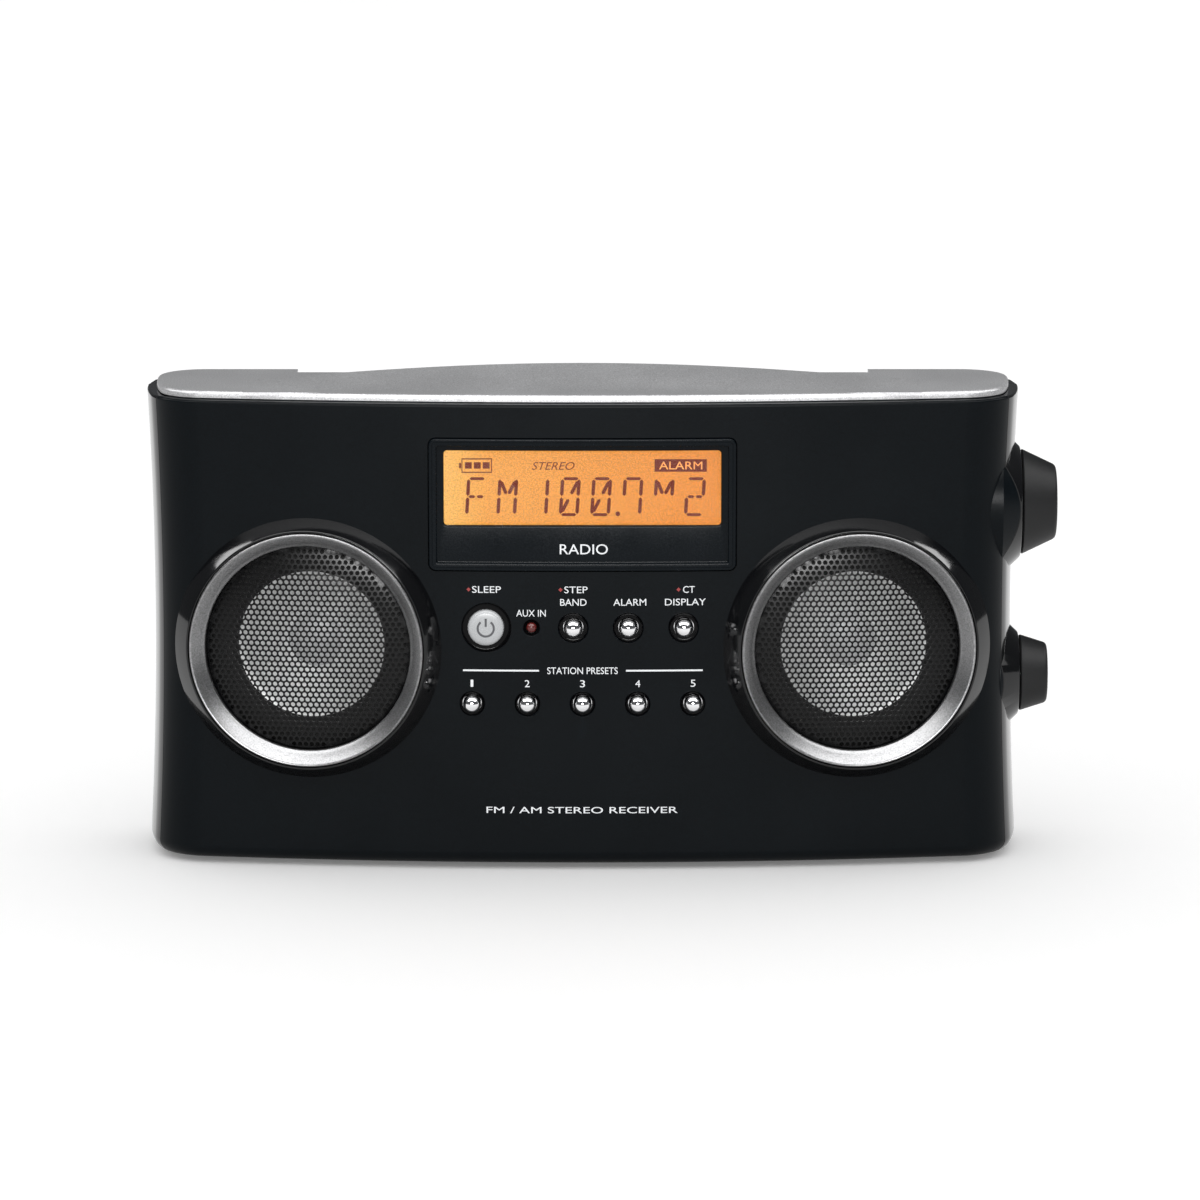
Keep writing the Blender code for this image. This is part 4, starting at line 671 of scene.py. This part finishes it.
def front_finish(point):
    """The front's finish at a point: 0 on the panel, 1 on a speaker pod, 2 in a button's well."""
    for side in (-1, 1):
        place, _ = speaker_place(side)
        tilt = math.asin(SPEAKER_X / BOW_RADIUS)
        offset = point - Vector(place)
        axis = Vector((side * math.sin(tilt), -math.cos(tilt), 0.0))
        height = offset.dot(axis)
        radius = (offset - axis * height).length
        if radius < POD_BASE_RADIUS + 1.5 * MM and point.y < bow_depth(point.x) - 0.05 * MM:
            return 1
        if radius < RING_RADIUS + 2 * GAP:
            return 1
    wells = [(x, level, well) for x, level, _, well in BUTTONS.values()]
    for x, level, well in wells + [(INDICATOR_X, UPPER_ROW_Z, INDICATOR_WELL)]:
        near = math.hypot(point.x - x, point.z - level) < well + 0.2 * MM
        if near and point.y > bow_depth(point.x) + 0.2 * MM:
            return 2
    return 0


def middle_shell():
    steps = []
    for level in (TUNING_Z, VOLUME_Z):
        hole = disc("control_hole", CONTROL_HOLE, -20 * MM, 20 * MM)
        steps.append(("DIFFERENCE", hole, (BOSS_FACE_X, KNOB_Y, level), TO_RIGHT))
    for side in (-1, 1):
        pocket = disc("foot_pocket", 6.3 * MM, -WALL, 2.5 * MM)
        steps.append(("DIFFERENCE", pocket, (side * FOOT_X, FRONT_FOOT_Y, 0), (0, 0, 0)))
    mesh = form_slice("middle_shell", FRONT_SEAM + GAP / 2, REAR_SEAM - GAP / 2, steps)
    true_shading(mesh)
    piece(mesh, "cabinet", FINISH["case"], replaces=["middle_frame"])


def arch_shape(x):
    """Height of the carrying grip's ridge above the plate, and its depth, at a distance from the middle."""
    share = max(0.0, 1 - (x / ARCH_HALF_SPAN) ** 2)
    return 0.05 * MM + 3.5 * MM * share ** 1.5, 32 * MM + 13 * MM * math.sqrt(share)


def arch_rise(share):
    return share * share * (3 - 2 * share) if share < 0.5 else share


def arch_height(x, y):
    top, ridge = arch_shape(x)
    if abs(x) >= ARCH_HALF_SPAN or y <= ARCH_FRONT or y > ridge:
        return 0.0
    return top * arch_rise((y - ARCH_FRONT) / (ridge - ARCH_FRONT))


def top_plate():
    rings = [(PLATE_LOW, 0.0), (PLATE_HIGH - PLATE_EDGE, 0.0)]
    for i in range(1, 9):
        angle = math.pi / 2 * i / 8
        rings.append((PLATE_HIGH - PLATE_EDGE * (1 - math.sin(angle)), PLATE_EDGE * (1 - math.cos(angle))))
    outlines = [(z, plan(BODY_WIDTH / 2, PLATE_DEPTH, PLATE_INSET + drawn)) for z, drawn in rings]
    slab = loft("top_plate_fine", [[(x, y, z) for x, y in outline] for z, outline in outlines])
    base = located(slab, (0, 0, 0), name="top_plate_fine")
    sections = []
    for i in range(97):
        x = ARCH_HALF_SPAN * (2 * i / 96 - 1)
        top, ridge = arch_shape(x)
        section = [(x, ARCH_FRONT, PLATE_HIGH - 1 * MM)]
        for j in range(25):
            y = ARCH_FRONT + (ridge - ARCH_FRONT) * j / 24
            section.append((x, y, PLATE_HIGH - 0.004 * MM + top * arch_rise(j / 24)))
        section.append((x, ridge + 1 * MM, PLATE_HIGH - 0.004 * MM))
        section.append((x, ridge + 1 * MM, PLATE_HIGH - 1 * MM))
        sections.append(section)
    notch = box("notch", (-NOTCH_HALF_WIDTH, NOTCH_HALF_WIDTH), (NOTCH_FRONT, 80 * MM), (130 * MM, 150 * MM))
    mesh = carved(base, [("UNION", loft("arch", sections)),
                         ("DIFFERENCE", notch)])
    smooth(mesh)
    normals = [Vector(corner.vector) for corner in mesh.corner_normals]
    step = 0.05 * MM
    for face in mesh.polygons:
        if face.normal.z < 0.9 or face.center.z < PLATE_HIGH - 0.02 * MM:
            continue
        for loop_index in face.loop_indices:
            x, y, _ = mesh.vertices[mesh.loops[loop_index].vertex_index].co
            here = arch_height(x, y - step)
            normals[loop_index] = Vector((-(arch_height(x + step, y - step) - here) / step,
                                          -(here - arch_height(x, y - 2 * step)) / step, 1.0)).normalized()
    mesh.normals_split_custom_set(normals)
    piece(mesh, "cabinet", FINISH["plate"], replaces=["top_plate"])


# ---------------------------------------------------------------- display


def fine_rectangle(width, height, radius, across=30, up=8):
    """A rounded rectangle whose straight sides are divided, so that it can follow the bow."""
    corners = rounded_rectangle(width, height, radius)
    points = []
    for i, point in enumerate(corners):
        points.append(point)
        following = corners[(i + 1) % len(corners)]
        if i % 7 == 6:
            count = across if i in (6, 20) else up
            points += [(point[0] + (following[0] - point[0]) * k / count,
                        point[1] + (following[1] - point[1]) * k / count) for k in range(1, count)]
    return points


def bezel():
    def outer(inset, depth):
        radius = max(0.6 * MM, 2 * MM - inset)
        outline = fine_rectangle(BEZEL_WIDTH - 2 * inset, BEZEL_HEIGHT - 2 * inset, radius)
        return [(x, bow_depth(x) - BEZEL_PROUD + depth, z + BEZEL_Z) for x, z in outline]

    def inner(margin, depth, bowed=True):
        outline = fine_rectangle(WINDOW_WIDTH + 2 * margin, WINDOW_HEIGHT + 2 * margin, 1 * MM + margin)
        return [(x, bow_depth(x) - BEZEL_PROUD + depth if bowed else depth, z + WINDOW_Z) for x, z in outline]

    back = [(x, BEZEL_BACK, z) for x, _, z in outer(0, 0)]
    steps = ((0.0, 0.35), (0.04, 0.2), (0.12, 0.09), (0.22, 0.02), (0.35, 0.0), (0.85, 0.0), (0.90, 0.10),
             (1.02, 0.10), (1.07, 0.0), (1.90, 0.0), (2.05, 0.05), (2.16, 0.18), (2.20, 0.35), (2.24, 1.0),
             (2.30, 1.12), (2.42, 1.19), (2.60, 1.2))
    rings = [back] + [outer(inset * MM, depth * MM) for inset, depth in steps]
    rings += [inner(0.55 * MM, BEZEL_RECESS), inner(0.35 * MM, BEZEL_RECESS + 0.05 * MM),
              inner(0.12 * MM, BEZEL_RECESS + 0.2 * MM), inner(0.0, BEZEL_RECESS + 0.5 * MM),
              inner(0.0, WINDOW_SEAT, False), inner(1.5 * MM, WINDOW_SEAT, False),
              inner(1.5 * MM, BEZEL_BACK, False)]
    piece(loft("display_bezel_fine", rings, 40, True), "cabinet", FINISH["bezel"],
          replaces=["display_bezel"])


def letters(bm, text, x, z, height, width, weight=0.0, slant=0.0):
    """Adds flat letters to bm, facing the front and fitted to a height and a width about (x, z)."""
    curve = bpy.data.curves.new("letters", "FONT")
    curve.body = text
    curve.offset = weight
    curve.shear = slant
    curve.resolution_u = 4
    obj = bpy.data.objects.new("letters", curve)
    bpy.context.scene.collection.objects.link(obj)
    graph = bpy.context.evaluated_depsgraph_get()
    mesh = bpy.data.meshes.new_from_object(obj.evaluated_get(graph))
    bpy.data.objects.remove(obj, do_unlink=True)
    points = [vertex.co.copy() for vertex in mesh.vertices]
    lows = [min(p[i] for p in points) for i in range(2)]
    highs = [max(p[i] for p in points) for i in range(2)]
    made = []
    for p in points:
        across = (p[0] - lows[0]) / (highs[0] - lows[0]) - 0.5
        up = (p[1] - lows[1]) / (highs[1] - lows[1]) - 0.5
        made.append(bm.verts.new((x + across * width, 0.0, z + up * height)))
    for face in mesh.polygons:
        bm.faces.new([made[i] for i in face.vertices])
    bpy.data.meshes.remove(mesh)


def patch(bm, points):
    bm.faces.new([bm.verts.new((x, 0.0, z)) for x, z in points])


def rectangle(bm, left, low, right, high):
    """A flat rectangle from its edges in millimetres."""
    patch(bm, [(x * MM, z * MM) for x, z in ((left, low), (right, low), (right, high), (left, high))])


def printed(bm, name, depth_at, thickness=0.03 * MM):
    """Gives flat faces a thickness and lays them on a surface whose depth depends on x."""
    bmesh.ops.remove_doubles(bm, verts=bm.verts, dist=1e-7)
    for vertex in bm.verts:
        vertex.co.y = depth_at(vertex.co.x)
    made = bmesh.ops.extrude_face_region(bm, geom=bm.faces[:])["geom"]
    for item in made:
        if isinstance(item, bmesh.types.BMVert):
            item.co.y -= thickness
    return to_mesh(bm, name, 60)


CELL_PITCH = 9.11 * MM
FIRST_CELL = -31.0 * MM
CELL_HALF_WIDTH = 2.7 * MM
CELL_LOW = -8.5 * MM
CELL_HIGH = 2.6 * MM
SLANT = math.tan(math.radians(3.5))
STROKES = {
    "top": ((-1, 1), (1, 1)), "bottom": ((-1, -1), (1, -1)), "upper_left": ((-1, 1), (-1, 0)),
    "upper_right": ((1, 1), (1, 0)), "lower_left": ((-1, 0), (-1, -1)), "lower_right": ((1, 0), (1, -1)),
    "middle_left": ((-1, 0), (0, 0)), "middle_right": ((0, 0), (1, 0)), "rise_left": ((0, 0), (-1, 1)),
    "rise_right": ((0, 0), (1, 1)), "fall_left": ((0, 0), (-1, -1)),
}
OUTLINE = ("top", "bottom", "upper_left", "upper_right", "lower_left", "lower_right")
CELLS = (
    ("top", "upper_left", "lower_left", "middle_left", "middle_right"),
    ("upper_left", "lower_left", "upper_right", "lower_right", "rise_left", "rise_right"),
    ("upper_right", "lower_right"),
    OUTLINE + ("rise_right", "fall_left"),
    OUTLINE + ("rise_right", "fall_left"),
    ("top", "upper_left", "upper_right", "lower_right"),
    ("upper_left", "upper_right", "rise_left", "rise_right"),
    ("top", "upper_right", "middle_left", "middle_right", "lower_left", "bottom"),
)


def stroke(bm, start, end, width, trim):
    """A bar with pointed ends between two points."""
    first, last = Vector(start), Vector(end)
    along = (last - first).normalized()
    across = Vector((-along.y, along.x)) * width / 2
    first, last = first + along * trim, last - along * trim
    tip = along * width / 2
    left, right = first + tip, last - tip
    patch(bm, [first, left + across, right + across, last, right - across, left - across])


def display():
    outline = rounded_rectangle(83.1 * MM, 24.4 * MM, 1.6 * MM)
    window = prism("display_window_fine", outline, -4.0 * MM, -2.8 * MM, 0.15 * MM)
    piece(window, "cabinet", FINISH["window"], (0, 0, WINDOW_Z), TO_FRONT,
          replaces=["display_window"])
    glass = prism("lcd_glass_fine", rounded_rectangle(85.4 * MM, 27.4 * MM, 0.4 * MM), -6.5 * MM, -LCD_FRONT,
                  0.1 * MM)
    piece(glass, "cabinet", FINISH["lcd"], (0, 0, WINDOW_Z), TO_FRONT, replaces=["lcd_glass"])

    dark = bmesh.new()
    middle = (CELL_LOW + CELL_HIGH) / 2
    half_height = (CELL_HIGH - CELL_LOW) / 2
    for i, cell in enumerate(CELLS):
        for name in cell:
            ends = []
            for u, v in STROKES[name]:
                height = v * (half_height - 0.25 * MM)
                ends.append((FIRST_CELL + i * CELL_PITCH + u * (CELL_HALF_WIDTH - 0.3 * MM) + height * SLANT,
                             middle + height))
            flat = name in ("top", "bottom", "middle_left", "middle_right")
            diagonal = name in ("rise_left", "rise_right", "fall_left")
            stroke(dark, *ends, (0.85 if flat else 1.0) * MM, (0.75 if diagonal else 0.2) * MM)
    patch(dark, arc((10.3 * MM, -8.0 * MM), 0.7 * MM, 0, 1.9 * math.pi, 14))
    frame_bars = ((-35.2, 4.07, -26.3, 4.4), (-35.2, 8.0, -26.3, 8.35), (-26.6, 4.45, -26.3, 7.95),
                  (-35.2, 4.45, -34.9, 7.95), (-35.9, 5.4, -35.3, 7.0))
    blocks = tuple((-34.2 + 2.6 * i, 5.3, -32.2 + 2.6 * i, 7.2) for i in range(3))
    for left, low, right, high in frame_bars + blocks:
        rectangle(dark, left, low, right, high)
    rectangle(dark, 21.0, 4.4, 36.2, 8.1)
    letters(dark, "STEREO", -8.5 * MM, 6.1 * MM, 2.3 * MM, 12.5 * MM, 0.0, 0.3)
    segments = printed(dark, "lcd_segments", lambda x: LCD_FRONT - 0.06 * MM)
    piece(segments, "cabinet", FINISH["segment"], (0, 0, WINDOW_Z))
    pale = bmesh.new()
    letters(pale, "ALARM", 28.6 * MM, 6.25 * MM, 2.3 * MM, 12.6 * MM)
    clear = printed(pale, "lcd_clear_letters", lambda x: LCD_FRONT - 0.12 * MM)
    piece(clear, "cabinet", FINISH["segment_light"], (0, 0, WINDOW_Z))


LABELS = (  # text, x, z, cap height, width, in millimetres
    ("SLEEP", -27.97, 83.6, 2.0, 8.4), ("STEP", -1.9, 83.6, 2.0, 6.8), ("CT", 31.0, 83.6, 2.0, 3.4),
    ("BAND", -2.65, 79.9, 2.0, 7.7), ("ALARM", 13.8, 79.9, 2.0, 9.6), ("DISPLAY", 30.0, 79.9, 2.0, 11.9),
    ("AUX IN", -15.0, 76.65, 2.0, 8.6), ("STATION PRESETS", 0.0, 59.6, 2.0, 20.6),
    ("FM / AM STEREO RECEIVER", -0.15, 18.0, 1.9, 56.0),
)
RULES = ((-34.9, -12.7), (12.7, 35.1))
RED_DOTS = (-33.2, -6.4, 28.0)


def labels():
    ink = bmesh.new()
    for text, x, z, height, width in LABELS:
        letters(ink, text, x * MM, z * MM, height * MM, width * MM)
    for i in range(5):
        width = 0.8 if i == 0 else 1.45
        letters(ink, str(i + 1), (i - 2) * PRESET_PITCH, 55.75 * MM, 2.1 * MM, width * MM)
    for left, right in RULES:
        for k in range(10):
            step = (right - left) / 10
            rectangle(ink, left + step * k, 59.35, left + step * (k + 1), 59.85)
    mesh = printed(ink, "front_labels", lambda x: bow_depth(x) + 0.005 * MM, 0.03 * MM)
    piece(mesh, "cabinet", FINISH["ink"])
    red = bmesh.new()
    for x in RED_DOTS:
        patch(red, arc((x * MM, 83.6 * MM), 0.62 * MM, 0, 1.5 * math.pi, 3))
    mesh = printed(red, "red_marks", lambda x: bow_depth(x) + 0.005 * MM, 0.03 * MM)
    piece(mesh, "cabinet", FINISH["red_ink"])
    word = bmesh.new()
    letters(word, "RADIO", 0.4 * MM, 95.5 * MM, 3.0 * MM, 14.0 * MM)
    floor_of_recess = BEZEL_RECESS - BEZEL_PROUD
    mesh = printed(word, "bezel_word", lambda x: bow_depth(x) + floor_of_recess + 0.005 * MM, 0.03 * MM)
    piece(mesh, "cabinet", FINISH["ink"])


# ---------------------------------------------------------------- speakers
RING_PROFILE = [(30.3, -4.7), (34.6, -4.7), (34.6, -0.3), (34.52, -0.02), (34.38, 0.18), (34.15, 0.29),
                (33.9, 0.24), (33.7, 0.1), (31.5, -2.31), (30.7, -3.1), (30.42, -3.3), (30.3, -3.6)]


def grille_mesh():
    """A domed sheet with a hexagonal pattern of round holes, and a flat plain rim."""
    bm = bmesh.new()
    corner = HOLE_PITCH / math.sqrt(3)
    turns = [math.pi / 6 * k for k in range(12)]
    reach = int(DOME_RADIUS / HOLE_PITCH) + 2
    for row in range(-reach - 3, reach + 4):
        for column in range(-reach - 3, reach + 4):
            x = HOLE_PITCH * (column + 0.5 * (row % 2))
            y = HOLE_PITCH * row * math.sqrt(3) / 2
            if math.hypot(x, y) + corner > DOME_RADIUS - 0.05 * MM:
                continue
            outer, inner = [], []
            for k, turn in enumerate(turns):
                radius = corner if k % 2 else HOLE_PITCH / 2
                outer.append(bm.verts.new((x + radius * math.cos(turn), y + radius * math.sin(turn), 0)))
                rim = (x + HOLE_RADIUS * math.cos(turn), y + HOLE_RADIUS * math.sin(turn), 0)
                inner.append(bm.verts.new(rim))
            for k in range(12):
                j = (k + 1) % 12
                bm.faces.new((outer[k], outer[j], inner[j], inner[k]))
    bmesh.ops.remove_doubles(bm, verts=bm.verts, dist=1e-6)
    limit = HOLE_RADIUS * 1.02
    jagged = [edge for edge in bm.edges if edge.is_boundary and is_lattice_rim(edge, limit)]
    circles = []
    for radius in (DOME_RADIUS, GRILLE_RADIUS):
        circles.append([bm.verts.new((radius * math.cos(t), radius * math.sin(t), 0))
                        for t in (2 * math.pi * i / 144 for i in range(144))])
    circle_edges = [bm.edges.new((circles[0][i], circles[0][(i + 1) % 144])) for i in range(144)]
    bmesh.ops.triangle_fill(bm, edges=jagged + circle_edges, use_beauty=True)
    for i in range(144):
        j = (i + 1) % 144
        bm.faces.new((circles[0][i], circles[0][j], circles[1][j], circles[1][i]))
    bmesh.ops.recalc_face_normals(bm, faces=bm.faces)
    if sum(face.normal.z for face in bm.faces) < 0:
        bmesh.ops.reverse_faces(bm, faces=bm.faces)
    for vertex in bm.verts:
        radius = math.hypot(vertex.co.x, vertex.co.y)
        share = max(0.0, 1 - (radius / DOME_RADIUS) ** 2)
        vertex.co.z = GRILLE_SEAT + DOME_RISE * share ** 0.7
    made = bmesh.ops.extrude_face_region(bm, geom=bm.faces[:])["geom"]
    for item in made:
        if isinstance(item, bmesh.types.BMVert):
            item.co.z -= 0.5 * MM
    return to_mesh(bm, "speaker_grille", 35)


def is_lattice_rim(edge, limit):
    """Whether a boundary edge belongs to the lattice's outer edge and not to one of its holes."""
    middle = (edge.verts[0].co + edge.verts[1].co) / 2
    row = round(middle.y / (HOLE_PITCH * math.sqrt(3) / 2))
    for near in (row - 1, row, row + 1):
        y = HOLE_PITCH * near * math.sqrt(3) / 2
        offset = HOLE_PITCH * 0.5 * (near % 2)
        x = HOLE_PITCH * round((middle.x - offset) / HOLE_PITCH) + offset
        if math.hypot(middle.x - x, middle.y - y) < limit:
            return False
    return True


def speakers():
    grille = grille_mesh()
    ring = lathe("speaker_ring", [(r * MM, h * MM) for r, h in RING_PROFILE], 192, 35)
    front = CONE_FRONT / MM
    half_turn = [math.pi * i / 10 for i in range(11)]
    roll = [(26.3 + 4.2 * math.cos(t), front + 1.6 * math.sin(t)) for t in half_turn]
    profile = [(31.0, front - 1.2), (31.0, front)] + roll
    profile += [(21.6, front - 0.1), (19.0, front - 1.6), (14.0, front - 5.0), (8.2, front - 8.6)]
    quarter_turn = [math.pi / 2 * i / 8 for i in range(1, 8)]
    profile += [(8.2 * math.cos(t), front - 8.4 + 2.6 * math.sin(t)) for t in quarter_turn]
    profile += [(0, front - 5.8), (0, front - 9.4), (8.0, front - 9.4), (14.0, front - 5.8)]
    profile += [(21.6, front - 1.2)]
    cone = lathe("speaker_cone", [(r * MM, h * MM) for r, h in profile], 96, 35)
    for name in ("cone", "rubber", "cap"):
        cone.materials.append(FINISH[name])
    # Faces inside 8.2 mm take the dust cap's darker grey, painted shade for the speaker's middle
    for face in cone.polygons:
        radius = math.hypot(face.center.x, face.center.y)
        face.material_index = 1 if radius > 21.7 * MM else 2 if radius < 8.2 * MM else 0
    for side, which in ((-1, "left"), (1, "right")):
        place, turn = speaker_place(side)
        piece(ring, "cabinet", FINISH["silver"], place, turn, [f"speaker_ring_{which}"],
              f"speaker_ring_{which}_fine")
        piece(grille, "cabinet", FINISH["grille"], place, turn, [f"speaker_grille_{which}"],
              f"speaker_grille_{which}_fine")
        piece(cone, "cabinet", FINISH["cone"], place, turn, [f"speaker_cone_{which}"],
              f"speaker_cone_{which}_fine")


# ---------------------------------------------------------------- buttons and knobs
def buttons():
    for name, (x, level, radius, _) in BUTTONS.items():
        place = (x, bow_depth(x), level)
        brim = radius + 0.9 * MM
        flange = [(radius, -3.1 * MM), (brim, -3.1 * MM), (brim, -4.1 * MM), (0, -4.1 * MM)]
        if name == "power_button":
            crown = [(0, 1.5), (1.5, 1.49), (3.0, 1.45), (4.2, 1.36), (4.7, 1.22), (5.0, 1.0),
                     (5.18, 0.7), (5.25, 0.3)]
            mesh = lathe(name + "_fine", [(r * MM, h * MM) for r, h in crown] + flange, 96, 40)
            piece(mesh, name, FINISH["white"], place, TO_FRONT, [name])
        else:
            rise = 3.2 * MM if level == UPPER_ROW_Z else 3.0 * MM
            dome = arc((0, rise - radius), radius, math.pi / 2, 0, 16)
            dome[0] = (0, rise)
            mesh = lathe(name + "_fine", dome + flange, 64, 40)
            piece(mesh, name, FINISH["chrome"], place, TO_FRONT, [name])
    symbol = bmesh.new()
    opening = math.radians(38)
    outer = arc((0, 0), 2.65 * MM, math.pi / 2 + opening, math.pi * 2.5 - opening, 40)
    inner = arc((0, 0), 2.05 * MM, math.pi / 2 + opening, math.pi * 2.5 - opening, 40)
    for i in range(40):
        patch(symbol, [outer[i], outer[i + 1], inner[i + 1], inner[i]])
    bar = 0.3 * MM
    patch(symbol, [(-bar, 0.5 * MM), (bar, 0.5 * MM), (bar, 2.9 * MM), (-bar, 2.9 * MM)])
    mesh = printed(symbol, "power_symbol", lambda x: -1.46 * MM, 0.05 * MM)
    piece(mesh, "power_button", FINISH["symbol"], (POWER_X, bow_depth(POWER_X), UPPER_ROW_Z))
    lens = arc((0, -0.9 * MM), INDICATOR_RADIUS, math.pi / 2, 0, 10)
    lens[0] = (0, -0.9 * MM + INDICATOR_RADIUS)
    mesh = lathe("aux_indicator_fine", lens + [(INDICATOR_RADIUS, -3 * MM), (0, -3 * MM)], 48, 40)
    place = (INDICATOR_X, bow_depth(INDICATOR_X), UPPER_ROW_Z)
    piece(mesh, "cabinet", FINISH["lens"], place, TO_FRONT, ["aux_indicator"])


def knobs():
    for name, level, base, face, length in (("tuning_knob", TUNING_Z, 15.5, 10.75, 10.4),
                                            ("volume_knob", VOLUME_Z, 11.25, 8.75, 8.3)):
        points = [(3.2, 0, False), (base - 0.3, 0, False), (base, 0.4, False), (face, length, True),
                  (face * 0.62, length - 0.25, False), (0, length - 0.45, False), (0, length - 3, False),
                  (3.2, length - 3, False)]
        points = [(r * MM, h * MM, is_rolled) for r, h, is_rolled in points]
        mesh = lathe(name + "_fine", rolled(points, 1.3 * MM, 8), 128, 30)
        piece(mesh, name, FINISH["knob"], (BOSS_FACE_X + GAP, KNOB_Y, level), TO_RIGHT, [name])


# ---------------------------------------------------------------- carried-over nodes
def numbered(name, count=4):
    return [f"{name}_{i + 1}" for i in range(count)]


CARRIED = {  # finish: the CAD nodes that keep their shape and take it
    "case": ["rear_cabinet"], "door": ["battery_door"], "backlight": ["lcd_backlight"],
    "chrome": ["antenna_base"] + numbered("antenna_tube"),
    "socket": ["aux_in_jack", "dc_jack", "headphone_jack"],
    "steel": numbered("case_screw") + ["speaker_frame_left", "speaker_frame_right", "tuning_shaft",
                                       "volume_shaft", "tuning_encoder", "volume_control"],
    "ferrite": ["ferrite_rod", "speaker_magnet_left", "speaker_magnet_right"], "copper": ["ferrite_coil"],
    "board": ["control_board", "main_board"],
    "rubber": numbered("rubber_foot"),
    "wrap": numbered("battery_cell"),
}


def carried_over():
    for finish, names in CARRIED.items():
        for name in names:
            for slot in bpy.data.objects[name].material_slots:
                slot.material = FINISH[finish]


# ---------------------------------------------------------------- stage, light and camera
def lamp(name, place, aim, size, power):
    data = bpy.data.lights.new(name, "AREA")
    data.shape = "RECTANGLE"
    data.size, data.size_y = size
    data.energy = power
    obj = bpy.data.objects.new(name, data)
    bpy.context.scene.collection.objects.link(obj)
    obj.location = place
    obj.rotation_euler = (Vector(aim) - Vector(place)).to_track_quat("-Z", "Y").to_euler()
    return obj


def stage():
    bm = bmesh.new()
    bmesh.ops.create_grid(bm, x_segments=1, y_segments=1, size=6.0)
    table = bpy.data.objects.new("table", to_mesh(bm, "table"))
    bpy.context.scene.collection.objects.link(table)
    table.data.materials.append(surface("table_white", (0.92, 0.92, 0.92), 0.6, cloud=2.0, tint=0.01,
                                        grain=300.0, speckle=0.005, edge_paling=0.0, relief=0.01 * MM,
                                        Emission_Color=(1.0, 1.0, 1.0, 1.0), Emission_Strength=0.15))
    world = bpy.data.worlds.new("studio")
    bpy.context.scene.world = world
    world.use_nodes = True
    tree = world.node_tree
    background = tree.nodes["Background"]
    path = node(tree, "ShaderNodeLightPath")
    seen = mixed(tree, path.outputs["Is Glossy Ray"], (1.12, 1.12, 1.12, 1), (0.10, 0.103, 0.107, 1))
    shown = mixed(tree, path.outputs["Is Camera Ray"], seen, (1.2, 1.2, 1.2, 1))
    tree.links.new(shown, background.inputs["Color"])
    background.inputs["Strength"].default_value = 1.0
    off_table = bpy.data.collections.new("not_lit_by_the_lamps")
    off_table.objects.link(table)
    off_table.collection_objects[0].light_linking.link_state = "EXCLUDE"
    for name, place, aim, size, power in (
            ("side_left", (-1.00, 0.29, 0.85), (0, 0, 0.08), (0.2, 0.5), 3.0),
            ("side_right", (1.00, 0.29, 0.85), (0, 0, 0.08), (0.2, 0.5), 3.0),
            ("top", (0.0, -0.42, 1.05), (0, -0.05, 0.1), (2.4, 0.6), 24.0),
            ("front", (0.0, -2.60, 0.75), (0, 0, 0.07), (1.2, 0.35), 52.0)):
        lamp(name, place, aim, size, power).light_linking.receiver_collection = off_table


LENS = 195.6
CAMERA_DISTANCE = 1.9
CAMERA_ELEVATION = math.radians(10.2)
CAMERA_AIM = Vector((-0.0003, -0.0309, 0.0806))


def camera():
    data = bpy.data.cameras.new("camera")
    data.lens = LENS
    data.sensor_width = 36.0
    obj = bpy.data.objects.new("camera", data)
    bpy.context.scene.collection.objects.link(obj)
    towards = Vector((0, -math.cos(CAMERA_ELEVATION), math.sin(CAMERA_ELEVATION)))
    obj.location = CAMERA_AIM + CAMERA_DISTANCE * towards
    obj.rotation_euler = (CAMERA_AIM - obj.location).to_track_quat("-Z", "Y").to_euler()
    bpy.context.scene.camera = obj
    bpy.context.scene.view_settings.view_transform = "Standard"


camera()
front_shell()
middle_shell()
top_plate()
bezel()
display()
labels()
speakers()
buttons()
knobs()
carried_over()
stage()
